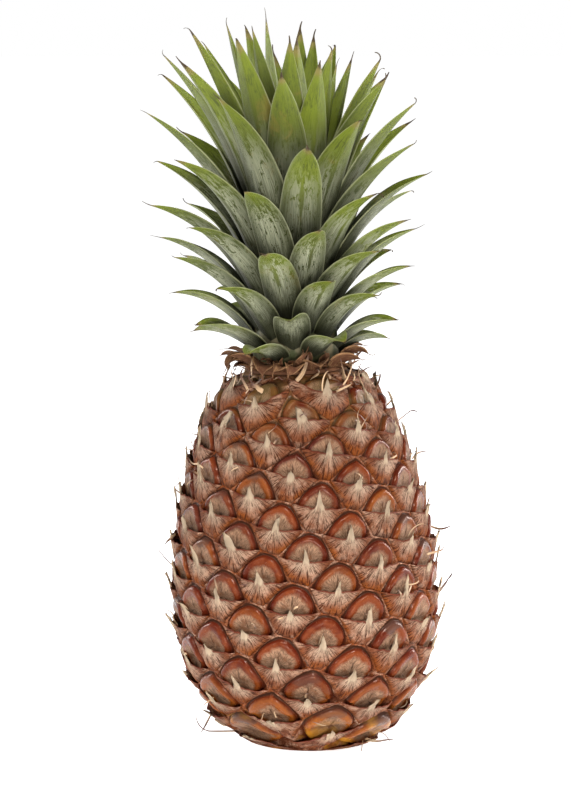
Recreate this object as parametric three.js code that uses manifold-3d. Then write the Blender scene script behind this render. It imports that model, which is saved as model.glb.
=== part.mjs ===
// A pineapple standing on its cut base: the fruit with its spirals of eyes and the stub of its stalk,
// the dry collar round its neck, and the leafy crown.
// Millimetres, +Z up, the origin at the middle of the base and the front towards -Y.
import * as THREE from "three";
import { ConvexHull } from "three/addons/math/ConvexHull.js";
import { mergeVertices } from "three/addons/utils/BufferGeometryUtils.js";
import Module from "manifold-3d";

const wasm = await Module();
wasm.setup();

// Fruit: radius and height of its outline, taken over the crests of the eyes
const OUTLINE = [
  [33, 0],
  [43, 9],
  [50.5, 20],
  [57, 33],
  [61.2, 50],
  [62.4, 74],
  [60.4, 100],
  [55.3, 124],
  [48.3, 145],
  [41.5, 160],
  [33, 170.5],
  [24, 176],
];
const OUTLINE_STEPS = 400;
const NECK_HEIGHT = OUTLINE.at(-1)[1];
const LEAN = 0.04; // sideways lean of the fruit towards -X, in radians
const LEAN_IN = 24; // height over which the lean comes in, above the level base
const LEAN_OUT = 40; // height over which it goes out again, above the neck

// Eyes: each takes a patch of skin that gets smaller towards the top, and is turned from the last by DIVERGENCE
const DIVERGENCE = 137.486; // degrees
const EYE_AREA = 540; // square millimetres at the base
const EYE_AREA_LOSS = 1.15; // square millimetres less for each millimetre up
const END_EYES = 3; // eyes left out at each end, where their patch would run over the edge
const FRONT_EYE = { height: 120.3, turn: 8.2 }; // one eye near the middle of the front, degrees to the right

// Relief of an eye, above or below the outline
const GROOVE_DEPTH = 3.2;
const BASIN_DEPTH = 0.9;
const FOOT_DEPTH = 1.0;
const LIP_RAISE = 1.2;
const BELLY_RAISE = 0.5;
const RIM_SHARE = 0.86; // how far out from the eye's middle the rim of its cap stands
const RIM_POINTS = 7;
const LIP_SHARE = 0.9; // how far out the bract's edge runs
const LIP_DROP = 2.4; // how far the middle of that edge lies below the eye's middle
const LIP_STEP = 0.35; // width of the step from the bract's edge down to the cap
const SPINE_LENGTH = 7.5;
const SPINE_RAISE = 4;
const SPINE_HALF_WIDTH = 1.7;
const SPINE_REACH = 0.6; // the most that a spine takes of the way up to the top corner
const MIDDLE_SHARE = 0.55; // how far out the lowest point of the basin, and the crest of the bract, lie
const RELIEF_FADE = 9; // distance from the base and from the neck over which the relief comes in

// Dry collar: a thin ring between the fruit and the crown, with a spiral of dry bracts
const CLEARANCE = 0.3; // gap left between parts that touch
const COLLAR_RADIUS = 23.5;
const COLLAR_THICKNESS = 2;
const COLLAR_BRACTS = 16;
const COLLAR_BRACT_ROOT = 22.4;
const ROOT_LIFT = 0.05; // how far a bract's keel stays above the ring's under face at its root
const COLLAR_BRACT_LENGTH = 15;
const COLLAR_BRACT_WIDTH = 11;
const COLLAR_ROOT_ANGLES = [38, 72]; // lowest and highest, degrees above level
const COLLAR_TIP_ANGLES = [-75, 5];
const COLLAR_SWAY = 4;

// Stalk: its stub, cut level with the base, stands in a narrow moat in the fruit's underside
const STALK_RADIUS = 12.5;
const MOAT_WIDTH = 2.5;
const MOAT_DEPTH = 6;

// Crown: its stem, and the leaves that grow from it from the lowest, at 0, to the innermost, at 1
const LEAVES = 78;
const LEAF_DIVERGENCE = 137.9;
const LEAF_TURN = -29; // degrees from the front to the lowest leaf
const STEM_RADII = [20.5, 19.5, 16, 11, 6];
const STEM_HEIGHT = 78;
const LEAF_ROOT_LOW = 4.5;
const LEAF_ROOT_RISE = 61;
const LEAF_CROWDING = 1.22; // above 1, the lowest leaves stand closer together up the stem
const ROOT_SINK = 4; // how far each root starts inside the stem
const LEAF_LENGTHS = [30, 46, 59, 71, 93, 102, 98, 88];
const LEFT_GROWTH = 0.11; // share by which leaves on the left are longer, and those on the right shorter
const LEAF_WIDTHS = [17, 17.5, 17.5, 18, 19, 19.5, 17.5, 13];
const ROOT_ANGLES = [32, 58, 62, 67, 73, 75, 73, 80]; // degrees above level at the root
const TIP_ANGLES = [-14, 5, 12, 18, 30, 50, 67, 86]; // degrees above level at the tip
const BLADE_SHAPE = [0.56, 0.86, 1, 0.99, 0.86, 0.56, 0.07]; // width along the blade, root to tip
const BLADE_SPANS = 6;
const BLADE_BEND = 0.6; // 0 bends a blade mostly near its tip, and more brings the bend down towards its middle
const LEAF_CHANNEL = 0.42; // depth of a leaf's channel as a share of its half width
const BLADE_KEEL = 1.7; // thickness along the middle
const BLADE_EDGE = 0.7; // thickness at the edges

const degrees = THREE.MathUtils.degToRad;
const lerp = THREE.MathUtils.lerp;

// A repeatable random number from 0 to 1 for item k
function chance(k, salt) {
  const v = Math.sin(k * 12.9898 + salt * 78.233) * 43758.5453;
  return v - Math.floor(v);
}

// A value from a list spread evenly over 0 to 1, with straight runs between
function along(list, share) {
  const at = THREE.MathUtils.clamp(share, 0, 1) * (list.length - 1);
  const i = Math.min(Math.floor(at), list.length - 2);
  return lerp(list[i], list[i + 1], at - i);
}

// The outline as a table: length along it, radius, height, conformal height and the eyes below
function outlineTable() {
  const curve = new THREE.SplineCurve(OUTLINE.map(([r, z]) => new THREE.Vector2(r, z)));
  const rows = [];
  for (let i = 0; i <= OUTLINE_STEPS; i++) {
    const p = curve.getPoint(i / OUTLINE_STEPS);
    const last = rows[i - 1] ?? { s: 0, q: 0, eyes: 0, r: p.x, z: p.y };
    const ds = Math.hypot(p.x - last.r, p.y - last.z);
    const r = (p.x + last.r) / 2;
    rows.push({
      s: last.s + ds,
      r: p.x,
      z: p.y,
      q: last.q + ds / r,
      eyes: last.eyes + (2 * Math.PI * r * ds) / (EYE_AREA - EYE_AREA_LOSS * p.y),
    });
  }
  return rows;
}

const table = outlineTable();
const skinLength = table.at(-1).s;
const middleQ = table.at(-1).q / 2;

// The row of the table where key has this value, held to its two ends
function rowAt(key, value) {
  let i = table.findIndex((row) => row[key] >= value);
  if (i < 0) i = table.length - 1;
  i = Math.max(i, 1);
  const a = table[i - 1];
  const b = table[i];
  const t = THREE.MathUtils.clamp((value - a[key]) / (b[key] - a[key]), 0, 1);
  const row = {};
  for (const k of Object.keys(a)) row[k] = lerp(a[k], b[k], t);
  row.normal = new THREE.Vector2(b.z - a.z, a.r - b.r).normalize();
  return row;
}

// The area under a smooth step from 0 to 1 that begins at start and ends at start + width
function underStep(z, start, width) {
  const t = THREE.MathUtils.clamp((z - start) / width, 0, 1);
  return width * (t ** 3 - t ** 4 / 2) + Math.max(z - start - width, 0);
}

// Leans a point: the base stays level, the fruit tips sideways and the crown straightens up again
function lean(p) {
  const tipped = THREE.MathUtils.smoothstep(p.z, 0, LEAN_IN);
  const straightened = THREE.MathUtils.smoothstep(p.z, NECK_HEIGHT, NECK_HEIGHT + LEAN_OUT);
  const shift = underStep(p.z, 0, LEAN_IN) - underStep(p.z, NECK_HEIGHT, LEAN_OUT);
  return new THREE.Vector3(p.x - LEAN * shift, p.y, p.z + LEAN * p.x * (tipped - straightened));
}

// A point at turn from the front and length s up the outline, raised by height along the skin's normal
function onSkin(turn, s, height) {
  const row = rowAt("s", s);
  const end = Math.min(s, skinLength - s);
  const h = height > 0 ? height * THREE.MathUtils.smoothstep(end, 0, RELIEF_FADE) : height;
  const r = row.r + h * row.normal.x;
  return new THREE.Vector3(r * Math.sin(turn), -r * Math.cos(turn), row.z + h * row.normal.y);
}

// Where the eyes sit, as turn and length up the outline
function eyeSites() {
  const front = rowAt("z", FRONT_EYE.height).eyes;
  const sites = [];
  for (let eyes = front % 1; eyes < table.at(-1).eyes - END_EYES; eyes++) {
    if (eyes < END_EYES) continue;
    const turn = FRONT_EYE.turn + DIVERGENCE * Math.round(eyes - front);
    sites.push({ turn: degrees(turn % 360), s: rowAt("eyes", eyes).s });
  }
  return sites;
}

// The patches round the eyes are found on a sphere that the skin maps to with its angles kept
function onSphere(turn, q) {
  const across = 1 / Math.cosh(q - middleQ);
  return new THREE.Vector3(across * Math.sin(turn), -across * Math.cos(turn), Math.tanh(q - middleQ));
}

// Corners where three patches meet, and for each patch its corners in order, anticlockwise from outside
function patches(sites) {
  const points = sites.map((e) => onSphere(e.turn, rowAt("s", e.s).q));
  const foot = points.push(new THREE.Vector3(0, 0, -1)) - 1;
  const neck = points.push(new THREE.Vector3(0, 0, 1)) - 1;
  const corners = [];
  const next = points.map(() => new Map());
  for (const face of new ConvexHull().setFromPoints(points).faces) {
    const n = face.normal;
    const own = [0, 1, 2].map((i) => points.indexOf(face.getEdge(i).head().point));
    let s = rowAt("q", middleQ + Math.atanh(n.z)).s;
    if (own.includes(foot)) s = 0;
    if (own.includes(neck)) s = skinLength;
    const corner = corners.push({ turn: Math.atan2(n.x, -n.y), s }) - 1;
    own.forEach((site, i) => next[site].set(own[(i + 1) % 3], { corner, to: own[(i + 2) % 3] }));
  }
  const rings = next.map((steps) => {
    const ring = [];
    let at = steps.keys().next().value;
    while (ring.length < steps.size) {
      const step = steps.get(at);
      ring.push(step.corner);
      at = step.to;
    }
    return ring;
  });
  return { corners, rings, foot, neck };
}

// A closed surface that is built up triangle by triangle
class Surface {
  points = [];
  faces = [];

  point(p) {
    return this.points.push(p) - 1;
  }

  // Triangles from a middle point to each side of a closed ring
  fan(middle, ring) {
    ring.forEach((a, i) => this.faces.push([middle, a, ring[(i + 1) % ring.length]]));
  }

  // Triangles between two rows of points, which may differ in count
  strip(low, high) {
    let i = 0;
    let j = 0;
    while (i < low.length - 1 || j < high.length - 1) {
      if ((j + 1) * (low.length - 1) <= (i + 1) * (high.length - 1)) {
        this.faces.push([low[i], high[j + 1], high[j]]);
        j++;
      } else {
        this.faces.push([low[i], low[i + 1], high[j]]);
        i++;
      }
    }
  }

  solid() {
    const mesh = new wasm.Mesh({
      numProp: 3,
      vertProperties: new Float32Array(this.points.flatMap((p) => p.toArray())),
      triVerts: new Uint32Array(this.faces.flat()),
    });
    return new wasm.Manifold(mesh);
  }
}

// Distance from the middle of a ring of corners to its side, in one direction
function sideDistance(local, angle) {
  const du = Math.cos(angle);
  const dv = Math.sin(angle);
  for (let i = 0; i < local.length; i++) {
    const a = local[i];
    const b = local[(i + 1) % local.length];
    const before = du * a.v - dv * a.u;
    const after = du * b.v - dv * b.u;
    if (before > 0 || after <= 0) continue;
    const share = before / (before - after);
    return lerp(a.u, b.u, share) * du + lerp(a.v, b.v, share) * dv;
  }
  throw new Error("An eye doesn't lie inside its own patch");
}

// One eye: the glossy cap above with its rim and basin, and below it the bract with its edge and spine
function addEye(surface, site, ring, corners, cornerPoints) {
  const radius = rowAt("s", site.s).r;
  const local = ring.map((c) => {
    const turn = corners[c].turn - site.turn;
    const u = radius * Math.atan2(Math.sin(turn), Math.cos(turn));
    return { point: cornerPoints[c], u, v: corners[c].s - site.s };
  });
  const put = (u, v, h) => surface.point(lean(onSkin(site.turn + u / radius, site.s + v, h)));
  const leftmost = local.reduce((a, b) => (b.u < a.u ? b : a));
  const rightmost = local.reduce((a, b) => (b.u > a.u ? b : a));
  const from = (start, end) => {
    const chain = [start];
    for (let i = local.indexOf(start); local[i] !== end; chain.push(local[i])) i = (i + 1) % local.length;
    return chain;
  };
  const upper = from(rightmost, leftmost);
  const lower = from(leftmost, rightmost);
  const reach = Math.max(...local.map((c) => c.v));
  const drop = Math.min(...local.map((c) => c.v));
  const spine = Math.min(SPINE_LENGTH - LIP_DROP, SPINE_REACH * reach);

  // The bract's edge runs from side to side by way of the spine, and its foot lies a step beyond it
  const edge = [
    [LIP_SHARE * leftmost.u, LIP_SHARE * leftmost.v, 0.5 * LIP_RAISE],
    [-SPINE_HALF_WIDTH, -LIP_DROP, LIP_RAISE],
    [0, spine, SPINE_RAISE],
    [SPINE_HALF_WIDTH, -LIP_DROP, LIP_RAISE],
    [LIP_SHARE * rightmost.u, LIP_SHARE * rightmost.v, 0.5 * LIP_RAISE],
  ];
  const lip = edge.map(([u, v, h]) => put(u, v, h));
  const foot = edge.map(([u, v]) => put(u, v + LIP_STEP, -FOOT_DEPTH));

  const rim = [];
  const right = Math.atan2(rightmost.v, rightmost.u);
  const left = Math.PI + Math.atan2(-leftmost.v, -leftmost.u);
  for (let i = 1; i <= RIM_POINTS; i++) {
    const angle = lerp(right, left, i / (RIM_POINTS + 1));
    const reached = RIM_SHARE * sideDistance(local, angle);
    rim.push(put(reached * Math.cos(angle), reached * Math.sin(angle), 0));
  }
  const inner = [foot.at(-1), ...rim, foot[0]];
  surface.strip(upper.map((c) => c.point), inner);
  surface.fan(put(0, MIDDLE_SHARE * reach, -BASIN_DEPTH), [...inner, ...foot.slice(1, -1)]);
  surface.fan(put(0, MIDDLE_SHARE * drop, BELLY_RAISE), [...lower.map((c) => c.point), ...[...lip].reverse()]);
  surface.strip(lip, foot);
  surface.faces.push([leftmost.point, lip[0], foot[0]], [rightmost.point, foot.at(-1), lip.at(-1)]);
}

// A blade along a spine that bends in its own upright plane, with a channel on its upper face
function blade({ turn, radius, height, length, width, angles, sway, channel, spans }) {
  const surface = new Surface();
  const out = new THREE.Vector3(Math.sin(turn), -Math.cos(turn), 0);
  const side = new THREE.Vector3(-Math.cos(turn), -Math.sin(turn), 0);
  const up = new THREE.Vector3(0, 0, 1);
  const spine = out.clone().multiplyScalar(radius).addScaledVector(up, height);
  const rings = [];
  for (let i = 0; i <= spans; i++) {
    const t = i / spans;
    const slope = degrees(lerp(angles[0], angles[1], t * t * (1 + BLADE_BEND - BLADE_BEND * t)));
    const ahead = out.clone().multiplyScalar(Math.cos(slope)).addScaledVector(up, Math.sin(slope));
    const above = out.clone().multiplyScalar(-Math.sin(slope)).addScaledVector(up, Math.cos(slope));
    if (i) spine.addScaledVector(ahead, length / spans);
    const middle = spine.clone().addScaledVector(side, sway * t * t);
    const half = (width / 2) * along(BLADE_SHAPE, t);
    const edge = half * lerp(channel[0], channel[1], t);
    const keel = lerp(BLADE_KEEL, BLADE_EDGE, t);
    const at = (u, h) => middle.clone().addScaledVector(side, u).addScaledVector(above, h);
    const put = (u, h) => surface.point(lean(at(u, h)));
    rings.push({
      top: [put(-half, edge), put(0, 0), put(half, edge)],
      under: [put(-half, edge - BLADE_EDGE), put(0, -keel), put(half, edge - BLADE_EDGE)],
    });
  }
  const sides = (a, b) => {
    surface.strip(a.top, b.top);
    for (let i = 1; i < 3; i++) {
      // Split as the upper face is, so that the two faces never cross
      surface.faces.push([a.under[i - 1], b.under[i], a.under[i]]);
      surface.faces.push([a.under[i - 1], b.under[i - 1], b.under[i]]);
    }
    surface.strip([a.under[0], a.top[0]], [b.under[0], b.top[0]]);
    surface.strip([a.top[2], a.under[2]], [b.top[2], b.under[2]]);
  };
  for (let i = 1; i <= spans; i++) sides(rings[i - 1], rings[i]);
  surface.strip(rings[0].under, rings[0].top);
  surface.strip(rings.at(-1).top, rings.at(-1).under);
  return surface.solid();
}

// A closed three.js geometry as a solid
function solidOf(geometry) {
  const plain = geometry.index ? geometry.toNonIndexed() : geometry.clone();
  plain.deleteAttribute("normal");
  plain.deleteAttribute("uv");
  const merged = mergeVertices(plain, 1e-3);
  const mesh = new wasm.Mesh({
    numProp: 3,
    vertProperties: merged.attributes.position.array,
    triVerts: new Uint32Array(merged.index.array),
  });
  return new wasm.Manifold(mesh);
}

// A geometry with every point of it leaned
function leaned(geometry) {
  const points = geometry.attributes.position;
  for (let i = 0; i < points.count; i++) {
    points.setXYZ(i, ...lean(new THREE.Vector3().fromBufferAttribute(points, i)));
  }
  return geometry;
}

// The outer shell of a solid, with pockets sealed between crossing blades filled in
function outerShell(solid) {
  return solid.decompose().reduce((a, b) => (b.volume() > a.volume() ? b : a));
}

// A flat round disc with its under face at z = bottom
function disc(radius, bottom, top, sides) {
  const cylinder = new THREE.CylinderGeometry(radius, radius, top - bottom, sides).rotateX(Math.PI / 2);
  return cylinder.translate(0, 0, (bottom + top) / 2);
}

// The dry collar: its bracts curl out over the shoulder of the fruit
function dryCollar() {
  const bottom = NECK_HEIGHT + CLEARANCE;
  let solid = solidOf(leaned(disc(COLLAR_RADIUS, bottom, bottom + COLLAR_THICKNESS, 24)));
  for (let k = 0; k < COLLAR_BRACTS; k++) {
    const bract = blade({
      turn: degrees(k * DIVERGENCE),
      radius: COLLAR_BRACT_ROOT,
      height: bottom + BLADE_KEEL + ROOT_LIFT,
      length: COLLAR_BRACT_LENGTH * lerp(0.75, 1.2, chance(k, 2)),
      width: COLLAR_BRACT_WIDTH * lerp(0.8, 1.2, chance(k, 3)),
      angles: [lerp(...COLLAR_ROOT_ANGLES, chance(k, 4)), lerp(...COLLAR_TIP_ANGLES, chance(k, 5))],
      sway: lerp(-COLLAR_SWAY, COLLAR_SWAY, chance(k, 6)),
      channel: [0, 0.3],
      spans: 3,
    });
    solid = solid.add(bract);
  }
  return outerShell(solid);
}

// The fruit: every eye raised on one skin, and the level base with the cut stalk in its moat
function fruit() {
  const sites = eyeSites();
  const { corners, rings, foot, neck } = patches(sites);
  const surface = new Surface();
  const cornerPoints = corners.map(({ turn, s }) => {
    const atEnd = s === 0 || s === skinLength;
    return surface.point(lean(onSkin(turn, s, atEnd ? 0 : -GROOVE_DEPTH)));
  });
  sites.forEach((site, i) => addEye(surface, site, rings[i], corners, cornerPoints));
  const endAt = (z) => surface.point(lean(new THREE.Vector3(0, 0, z)));
  surface.fan(endAt(0), rings[foot].map((c) => cornerPoints[c]));
  surface.fan(endAt(NECK_HEIGHT), rings[neck].map((c) => cornerPoints[c]));
  const stalk = solidOf(disc(STALK_RADIUS, -2 * MOAT_DEPTH, 2 * MOAT_DEPTH, 24));
  const moat = solidOf(disc(STALK_RADIUS + MOAT_WIDTH, -MOAT_DEPTH, MOAT_DEPTH, 24)).subtract(stalk);
  return surface.solid().subtract(moat);
}

// Radius of the crown's stem at a height above the neck
function stemRadius(height) {
  return along(STEM_RADII, height / STEM_HEIGHT);
}

// Leaf k of the crown, from the short arching leaves at the bottom to the upright ones in the middle
function leaf(k) {
  const share = k / (LEAVES - 1);
  const root = LEAF_ROOT_LOW + LEAF_ROOT_RISE * share ** LEAF_CROWDING;
  const turn = degrees(LEAF_TURN + LEAF_DIVERGENCE * k + lerp(-3, 3, chance(k, 11)));
  const growth = (1 - LEFT_GROWTH * Math.sin(turn)) * lerp(0.95, 1.05, chance(k, 12));
  return blade({
    turn,
    radius: Math.max(stemRadius(root) - ROOT_SINK, 1),
    height: NECK_HEIGHT + root,
    length: ROOT_SINK + along(LEAF_LENGTHS, share) * growth,
    width: along(LEAF_WIDTHS, share) * lerp(0.95, 1.05, chance(k, 13)),
    angles: [
      along(ROOT_ANGLES, share) + lerp(-2, 2, chance(k, 14)),
      along(TIP_ANGLES, share) + lerp(-6, 6, chance(k, 15)),
    ],
    sway: lerp(-5, 5, chance(k, 16)) * share,
    channel: [LEAF_CHANNEL, LEAF_CHANNEL],
    spans: BLADE_SPANS,
  });
}

// The crown: a tapering stem with every leaf fused to it
function crown() {
  const bottom = COLLAR_THICKNESS + 2 * CLEARANCE;
  const profile = STEM_RADII.map((r, i) => {
    return new THREE.Vector2(r, lerp(bottom, STEM_HEIGHT, i / (STEM_RADII.length - 1)));
  });
  const closed = [new THREE.Vector2(0, bottom), ...profile, new THREE.Vector2(0, STEM_HEIGHT)];
  const stem = new THREE.LatheGeometry(closed, 16).rotateX(Math.PI / 2).translate(0, 0, NECK_HEIGHT);
  let solid = solidOf(leaned(stem));
  for (let k = 0; k < LEAVES; k++) solid = solid.add(leaf(k));
  return outerShell(solid);
}

// A solid as a named mesh with its own material
function meshOf(name, solid, color, roughness) {
  const made = solid.getMesh();
  const geometry = new THREE.BufferGeometry();
  geometry.setAttribute("position", new THREE.BufferAttribute(new Float32Array(made.vertProperties), 3));
  geometry.setIndex(new THREE.BufferAttribute(new Uint32Array(made.triVerts), 1));
  geometry.computeVertexNormals();
  const material = new THREE.MeshStandardMaterial({ color, roughness, metalness: 0 });
  const mesh = new THREE.Mesh(geometry, material);
  mesh.name = name;
  return mesh;
}

const pineapple = new THREE.Group();
pineapple.add(
  meshOf("fruit", fruit(), 0xa9562a, 0.45),
  meshOf("dry_collar", dryCollar(), 0x5b3a22, 0.8),
  meshOf("crown", crown(), 0x70834f, 0.5),
);

export default pineapple;
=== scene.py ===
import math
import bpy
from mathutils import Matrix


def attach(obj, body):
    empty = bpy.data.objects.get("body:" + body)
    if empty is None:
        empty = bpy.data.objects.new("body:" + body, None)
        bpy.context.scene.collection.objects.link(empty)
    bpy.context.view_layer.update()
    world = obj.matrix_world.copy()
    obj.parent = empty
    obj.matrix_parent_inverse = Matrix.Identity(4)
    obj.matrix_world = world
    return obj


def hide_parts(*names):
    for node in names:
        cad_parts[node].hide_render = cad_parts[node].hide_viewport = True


bl_info = {
    "name": "Pineapple",
    "version": (1, 0, 0),
    "blender": (4, 5, 0),
    "location": "View3D > Sidebar > Pineapple",
    "description": "A whole pineapple with its eyes, papery bracts and leafy crown, standing on its base",
    "category": "Object",
}

import bmesh
import bpy
import numpy as np
from bpy.props import (
    FloatProperty,
    FloatVectorProperty,
    IntProperty,
    PointerProperty,
)
from mathutils import Matrix, Vector

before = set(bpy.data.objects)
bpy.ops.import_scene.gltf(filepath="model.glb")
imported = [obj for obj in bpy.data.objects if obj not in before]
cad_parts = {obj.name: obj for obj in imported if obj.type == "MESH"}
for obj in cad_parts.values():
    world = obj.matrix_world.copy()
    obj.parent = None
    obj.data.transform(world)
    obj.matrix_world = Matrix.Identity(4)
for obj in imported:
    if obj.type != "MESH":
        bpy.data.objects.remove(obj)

MM = 0.001  # shapes are worked out in millimetres and written in metres

# Outline of the fruit over the crests of its eyes: radius and height
OUTLINE = [
    (33, 0),
    (43, 9),
    (50.5, 20),
    (57, 33),
    (61.2, 50),
    (62.4, 74),
    (60.4, 100),
    (55.3, 124),
    (48.3, 145),
    (41.5, 160),
    (33, 170.5),
    (24, 176),
]
OUTLINE_STEPS = 400
NECK_HEIGHT = OUTLINE[-1][1]
LEAN = 0.04
LEAN_IN = 24
LEAN_OUT = 40
DIVERGENCE = 137.486
EYE_AREA = 540
EYE_AREA_LOSS = 1.15
END_EYES = 3
FRONT_EYE_HEIGHT = 120.3
FRONT_EYE_TURN = 8.2
RELIEF_FADE = 9

# Height of the skin over the outline, from the middle of an eye (0) out to its neighbours (1)
CAP_PROFILE_AT = [0, 0.26, 0.44, 0.54, 0.62, 0.7, 0.77, 0.83, 0.88, 0.92, 1]
CAP_PROFILE = [-0.8, -0.7, -0.35, 0.15, 0.65, 0.75, 0.35, -0.6, -2.1, -1.5, -1.1]
CAP_SHARE = 0.88  # where the rounded cap ends
# A cap is an oval this wide and tall against its patch, squared off a little, and kept inside the patch
CAP_WIDE = 0.82
CAP_TALL = 0.88
CAP_SQUARE = 2.3
CAP_ROOM = 0.93
CAP_DENT_SHARE = 0.53  # inside this share the middle's own depth counts
CAP_SINKS = (0.6, 1.3)
CAP_SWELLS = (-0.35, 0.45)
CAP_THREE_SIDES = 0.35  # height of the three low ridges of a cap
CAP_TURN = 6.28
TUCK = 2.3  # how far the cap dips under its bract
TUCK_HEIGHTS = (-4.5, 2.5)
TUCK_FADE = 0.06

# Bracts: columns from the left side to the middle, rows from the groove to the edge, heights over the skin
BRACT_COLUMNS = [-1, -0.86, -0.7, -0.54, -0.4, -0.28, -0.19, -0.12, -0.075, -0.045, -0.02]
BRACT_ROWS = [0, 0.05, 0.14, 0.3, 0.48, 0.66, 0.82, 0.93, 1.0]
BRACT_HEIGHT_AT = [0, 0.05, 0.14, 0.3, 0.7, 1]
BRACT_HEIGHTS = [-2.0, -0.95, -0.25, 0.4, 0.8, 1.1]
BRACT_WIDE = 0.97
BRACT_EDGE_CURVE = 1.15
BRACT_EDGE_DIP = 1.1
BRACT_RAGGED = (-0.4, 0.5)
BRACT_LIFTS = (-0.3, 1.0)
BRACT_KEEL = 0.9
BRACT_KEEL_WIDE = 0.16
BRACT_FOLDS = 17
BRACT_FOLD_HEIGHT = 0.28
BRACT_CORNER_DROP = 1.3
STUB_SHARE = 0.3  # share of the spines that are broken short
STUB_LENGTHS = (0.25, 0.55)
SPINE_LENGTHS = (0.6, 1.15)
SPINE_HALF_WIDTHS = (0.1, 0.15)
SPINE_OUT = 3.4
BENT_ABOVE = 0.72  # the spines whose draw is above this bend well over
SPINE_SWAY = 2
BENT_SWAY = 5.5
FULL_SWAY_LENGTH = 8  # shorter spines sway less

# Cut stub of the stalk in its hollow, and the rings that close the base and the neck
STALK_RADIUS = 12.5
MOAT_WIDTH = 2.5
MOAT_DEPTH = 6
BASE_RING = 27
STUB_RING = 6
NECK_RINGS = (18, 8)

# Crown, from its lowest leaf to its innermost
LEAVES = 78
LEAF_DIVERGENCE = 137.9
LEAF_TURN = -29
STEM_RADII = [20.5, 19.5, 16, 11, 6]
STEM_HEIGHT = 78
STEM_SIDES = 32
LEAF_ROOT_LOW = 4.5
LEAF_ROOT_RISE = 61
LEAF_CROWDING = 1.22
ROOT_SINK = 4
LEAF_LENGTHS = [30, 46, 59, 71, 93, 102, 98, 88]
LEFT_GROWTH = 0.11
LEAF_WIDTHS = [17, 17.5, 17.5, 18, 19, 19.5, 17.5, 13]
ROOT_ANGLES = [32, 58, 62, 67, 73, 75, 73, 80]
TIP_ANGLES = [-14, 5, 12, 18, 30, 50, 67, 86]
BLADE_SHAPE = [0.56, 0.86, 1, 0.99, 0.86, 0.56, 0.07]
BLADE_SOFTENING = [0.0625, 0.25, 0.375, 0.25, 0.0625]
BLADE_BEND = 0.6
LEAF_CHANNEL = 0.42
LEAF_CHANNEL_CURVE = 1.25
LEAF_MARGIN = 0.05
LEAF_KEEL = 0.09

# Dry collar between the fruit and the crown
CLEARANCE = 0.3
COLLAR_RADIUS = 23.5
COLLAR_THICKNESS = 2
COLLAR_BRACTS = 16
COLLAR_BRACT_ROOT = 22.4
COLLAR_BRACT_RISE = 1.75
COLLAR_BRACT_LENGTH = 15
COLLAR_BRACT_WIDTH = 11
COLLAR_ROOT_ANGLES = (38, 72)
COLLAR_TIP_ANGLES = (-75, 5)
COLLAR_BRACT_LENGTHS = (0.75, 1.2)
COLLAR_BRACT_WIDTHS = (0.8, 1.2)
COLLAR_SWAY = 4
COLLAR_TWIST = 0.9
COLLAR_TIP_SHARE = 0.3
COLLAR_TIP_STEPS = 4
COLLAR_TIP_TURN = 2.4
COLLAR_TIP_ASIDE = (0, 0.7)
COLLAR_TIP_WIDTH = 0.15
COLLAR_EDGE = 0.5
COLLAR_SIDES = 48
# Ranges of the shreds among its bracts
SHRED_RADII = (20.6, 23)
SHRED_RISES = (0.8, 3.2)
SHRED_REACHES = (5, 13)
SHRED_WIDTHS = (2, 7)
SHRED_ROOT_ANGLES = (10, 88)
SHRED_TIP_ANGLES = (-45, 80)

# Leaves and their dry hooks; the bloom lessens from the lowest leaf to the innermost
LEAF_SIZES = (0.95, 1.05)
LEAF_TURN_SWAY = 3
ROOT_ANGLE_SWAY = 2
TIP_ANGLE_SWAY = 6
LEAF_SWAY = 5
LEAF_TWIST = 0.35
LEAF_BLOOMS = (0.75, 1)
BLOOM_LOSS = 0.88
BLOOM_FADE = 1.3
HOOK_STEPS = 7
HOOK_LENGTHS = (0.3, 1.0)
HOOK_TURNS = (-1.9, 1.6)
HOOK_ASIDE = (0, 0.8)
HOOK_WIDTHS = (0.85, 0.22)  # a share of the tip's width, and millimetres
HOOK_ALONG = (1.01, 1.1)

# Loose curls over the fruit, and shreds round its neck
FIRST_SHRED = 1000  # the shreds' draws are kept apart from the curls'
CURL_FLOOR = 0.6  # lowest that a curl may hang
CURL_ROOT_HEIGHTS = (0.2, 1.2)
CURL_ASIDE = 0.1
CURL_RISES = (-3, 4)
CURL_LENGTHS = (0.3, 1)
CURL_MOSTLY_SHORT = 1.5
CURL_HALF_WIDTHS = (0.2, 0.55)
SHRED_DROPS = (1.5, 15)
SHRED_LENGTHS = (0.3, 0.9)
SHRED_HALF_WIDTHS = (0.3, 1.5)
CURL_LEAN_OUT = (0.25, 0.7)
CURL_LEAN_UP = (-0.3, 1.0)
CURL_LEAN_ASIDE = 0.9
# A curl is a straight root, an arch and a curled end: share of its length, steps and most turn
CURL_ROOT_SHARE = 0.15
CURL_ARCH = (0.4, 5, 1.1)
CURL_END = (0.45, 6, 2.6)
CURL_WIDTHS_AT = [0, 0.2, 0.7, 1]
CURL_WIDTHS = [1, 1, 0.7, 0.15]

# Longest loose curls: degrees round from the front, height, length, half width and the draw of its shape
LONG_CURLS = [
    (-64, 6, 24, 1.0, 569),
    (-80, 14, 15, 0.7, 501),
    (42, 5, 16, 1.0, 502),
    (88, 66, 15, 1.5, 503),
    (-86, 100, 15, 0.8, 504),
    (-90, 84, 17, 0.7, 505),
    (-88, 122, 14, 0.6, 506),
    (76, 166, 16, 0.6, 507),
    (84, 150, 14, 0.5, 508),
    (92, 98, 13, 0.6, 509),
    (-78, 58, 14, 0.9, 510),
    (150, 60, 15, 0.8, 511),
    (200, 120, 15, 0.7, 512),
    (240, 30, 18, 1.0, 513),
]
CURL_ROOM = ((-76, 67.6), (-74, 70.5))  # how far the curls may stand out, left to right and front to back

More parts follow.
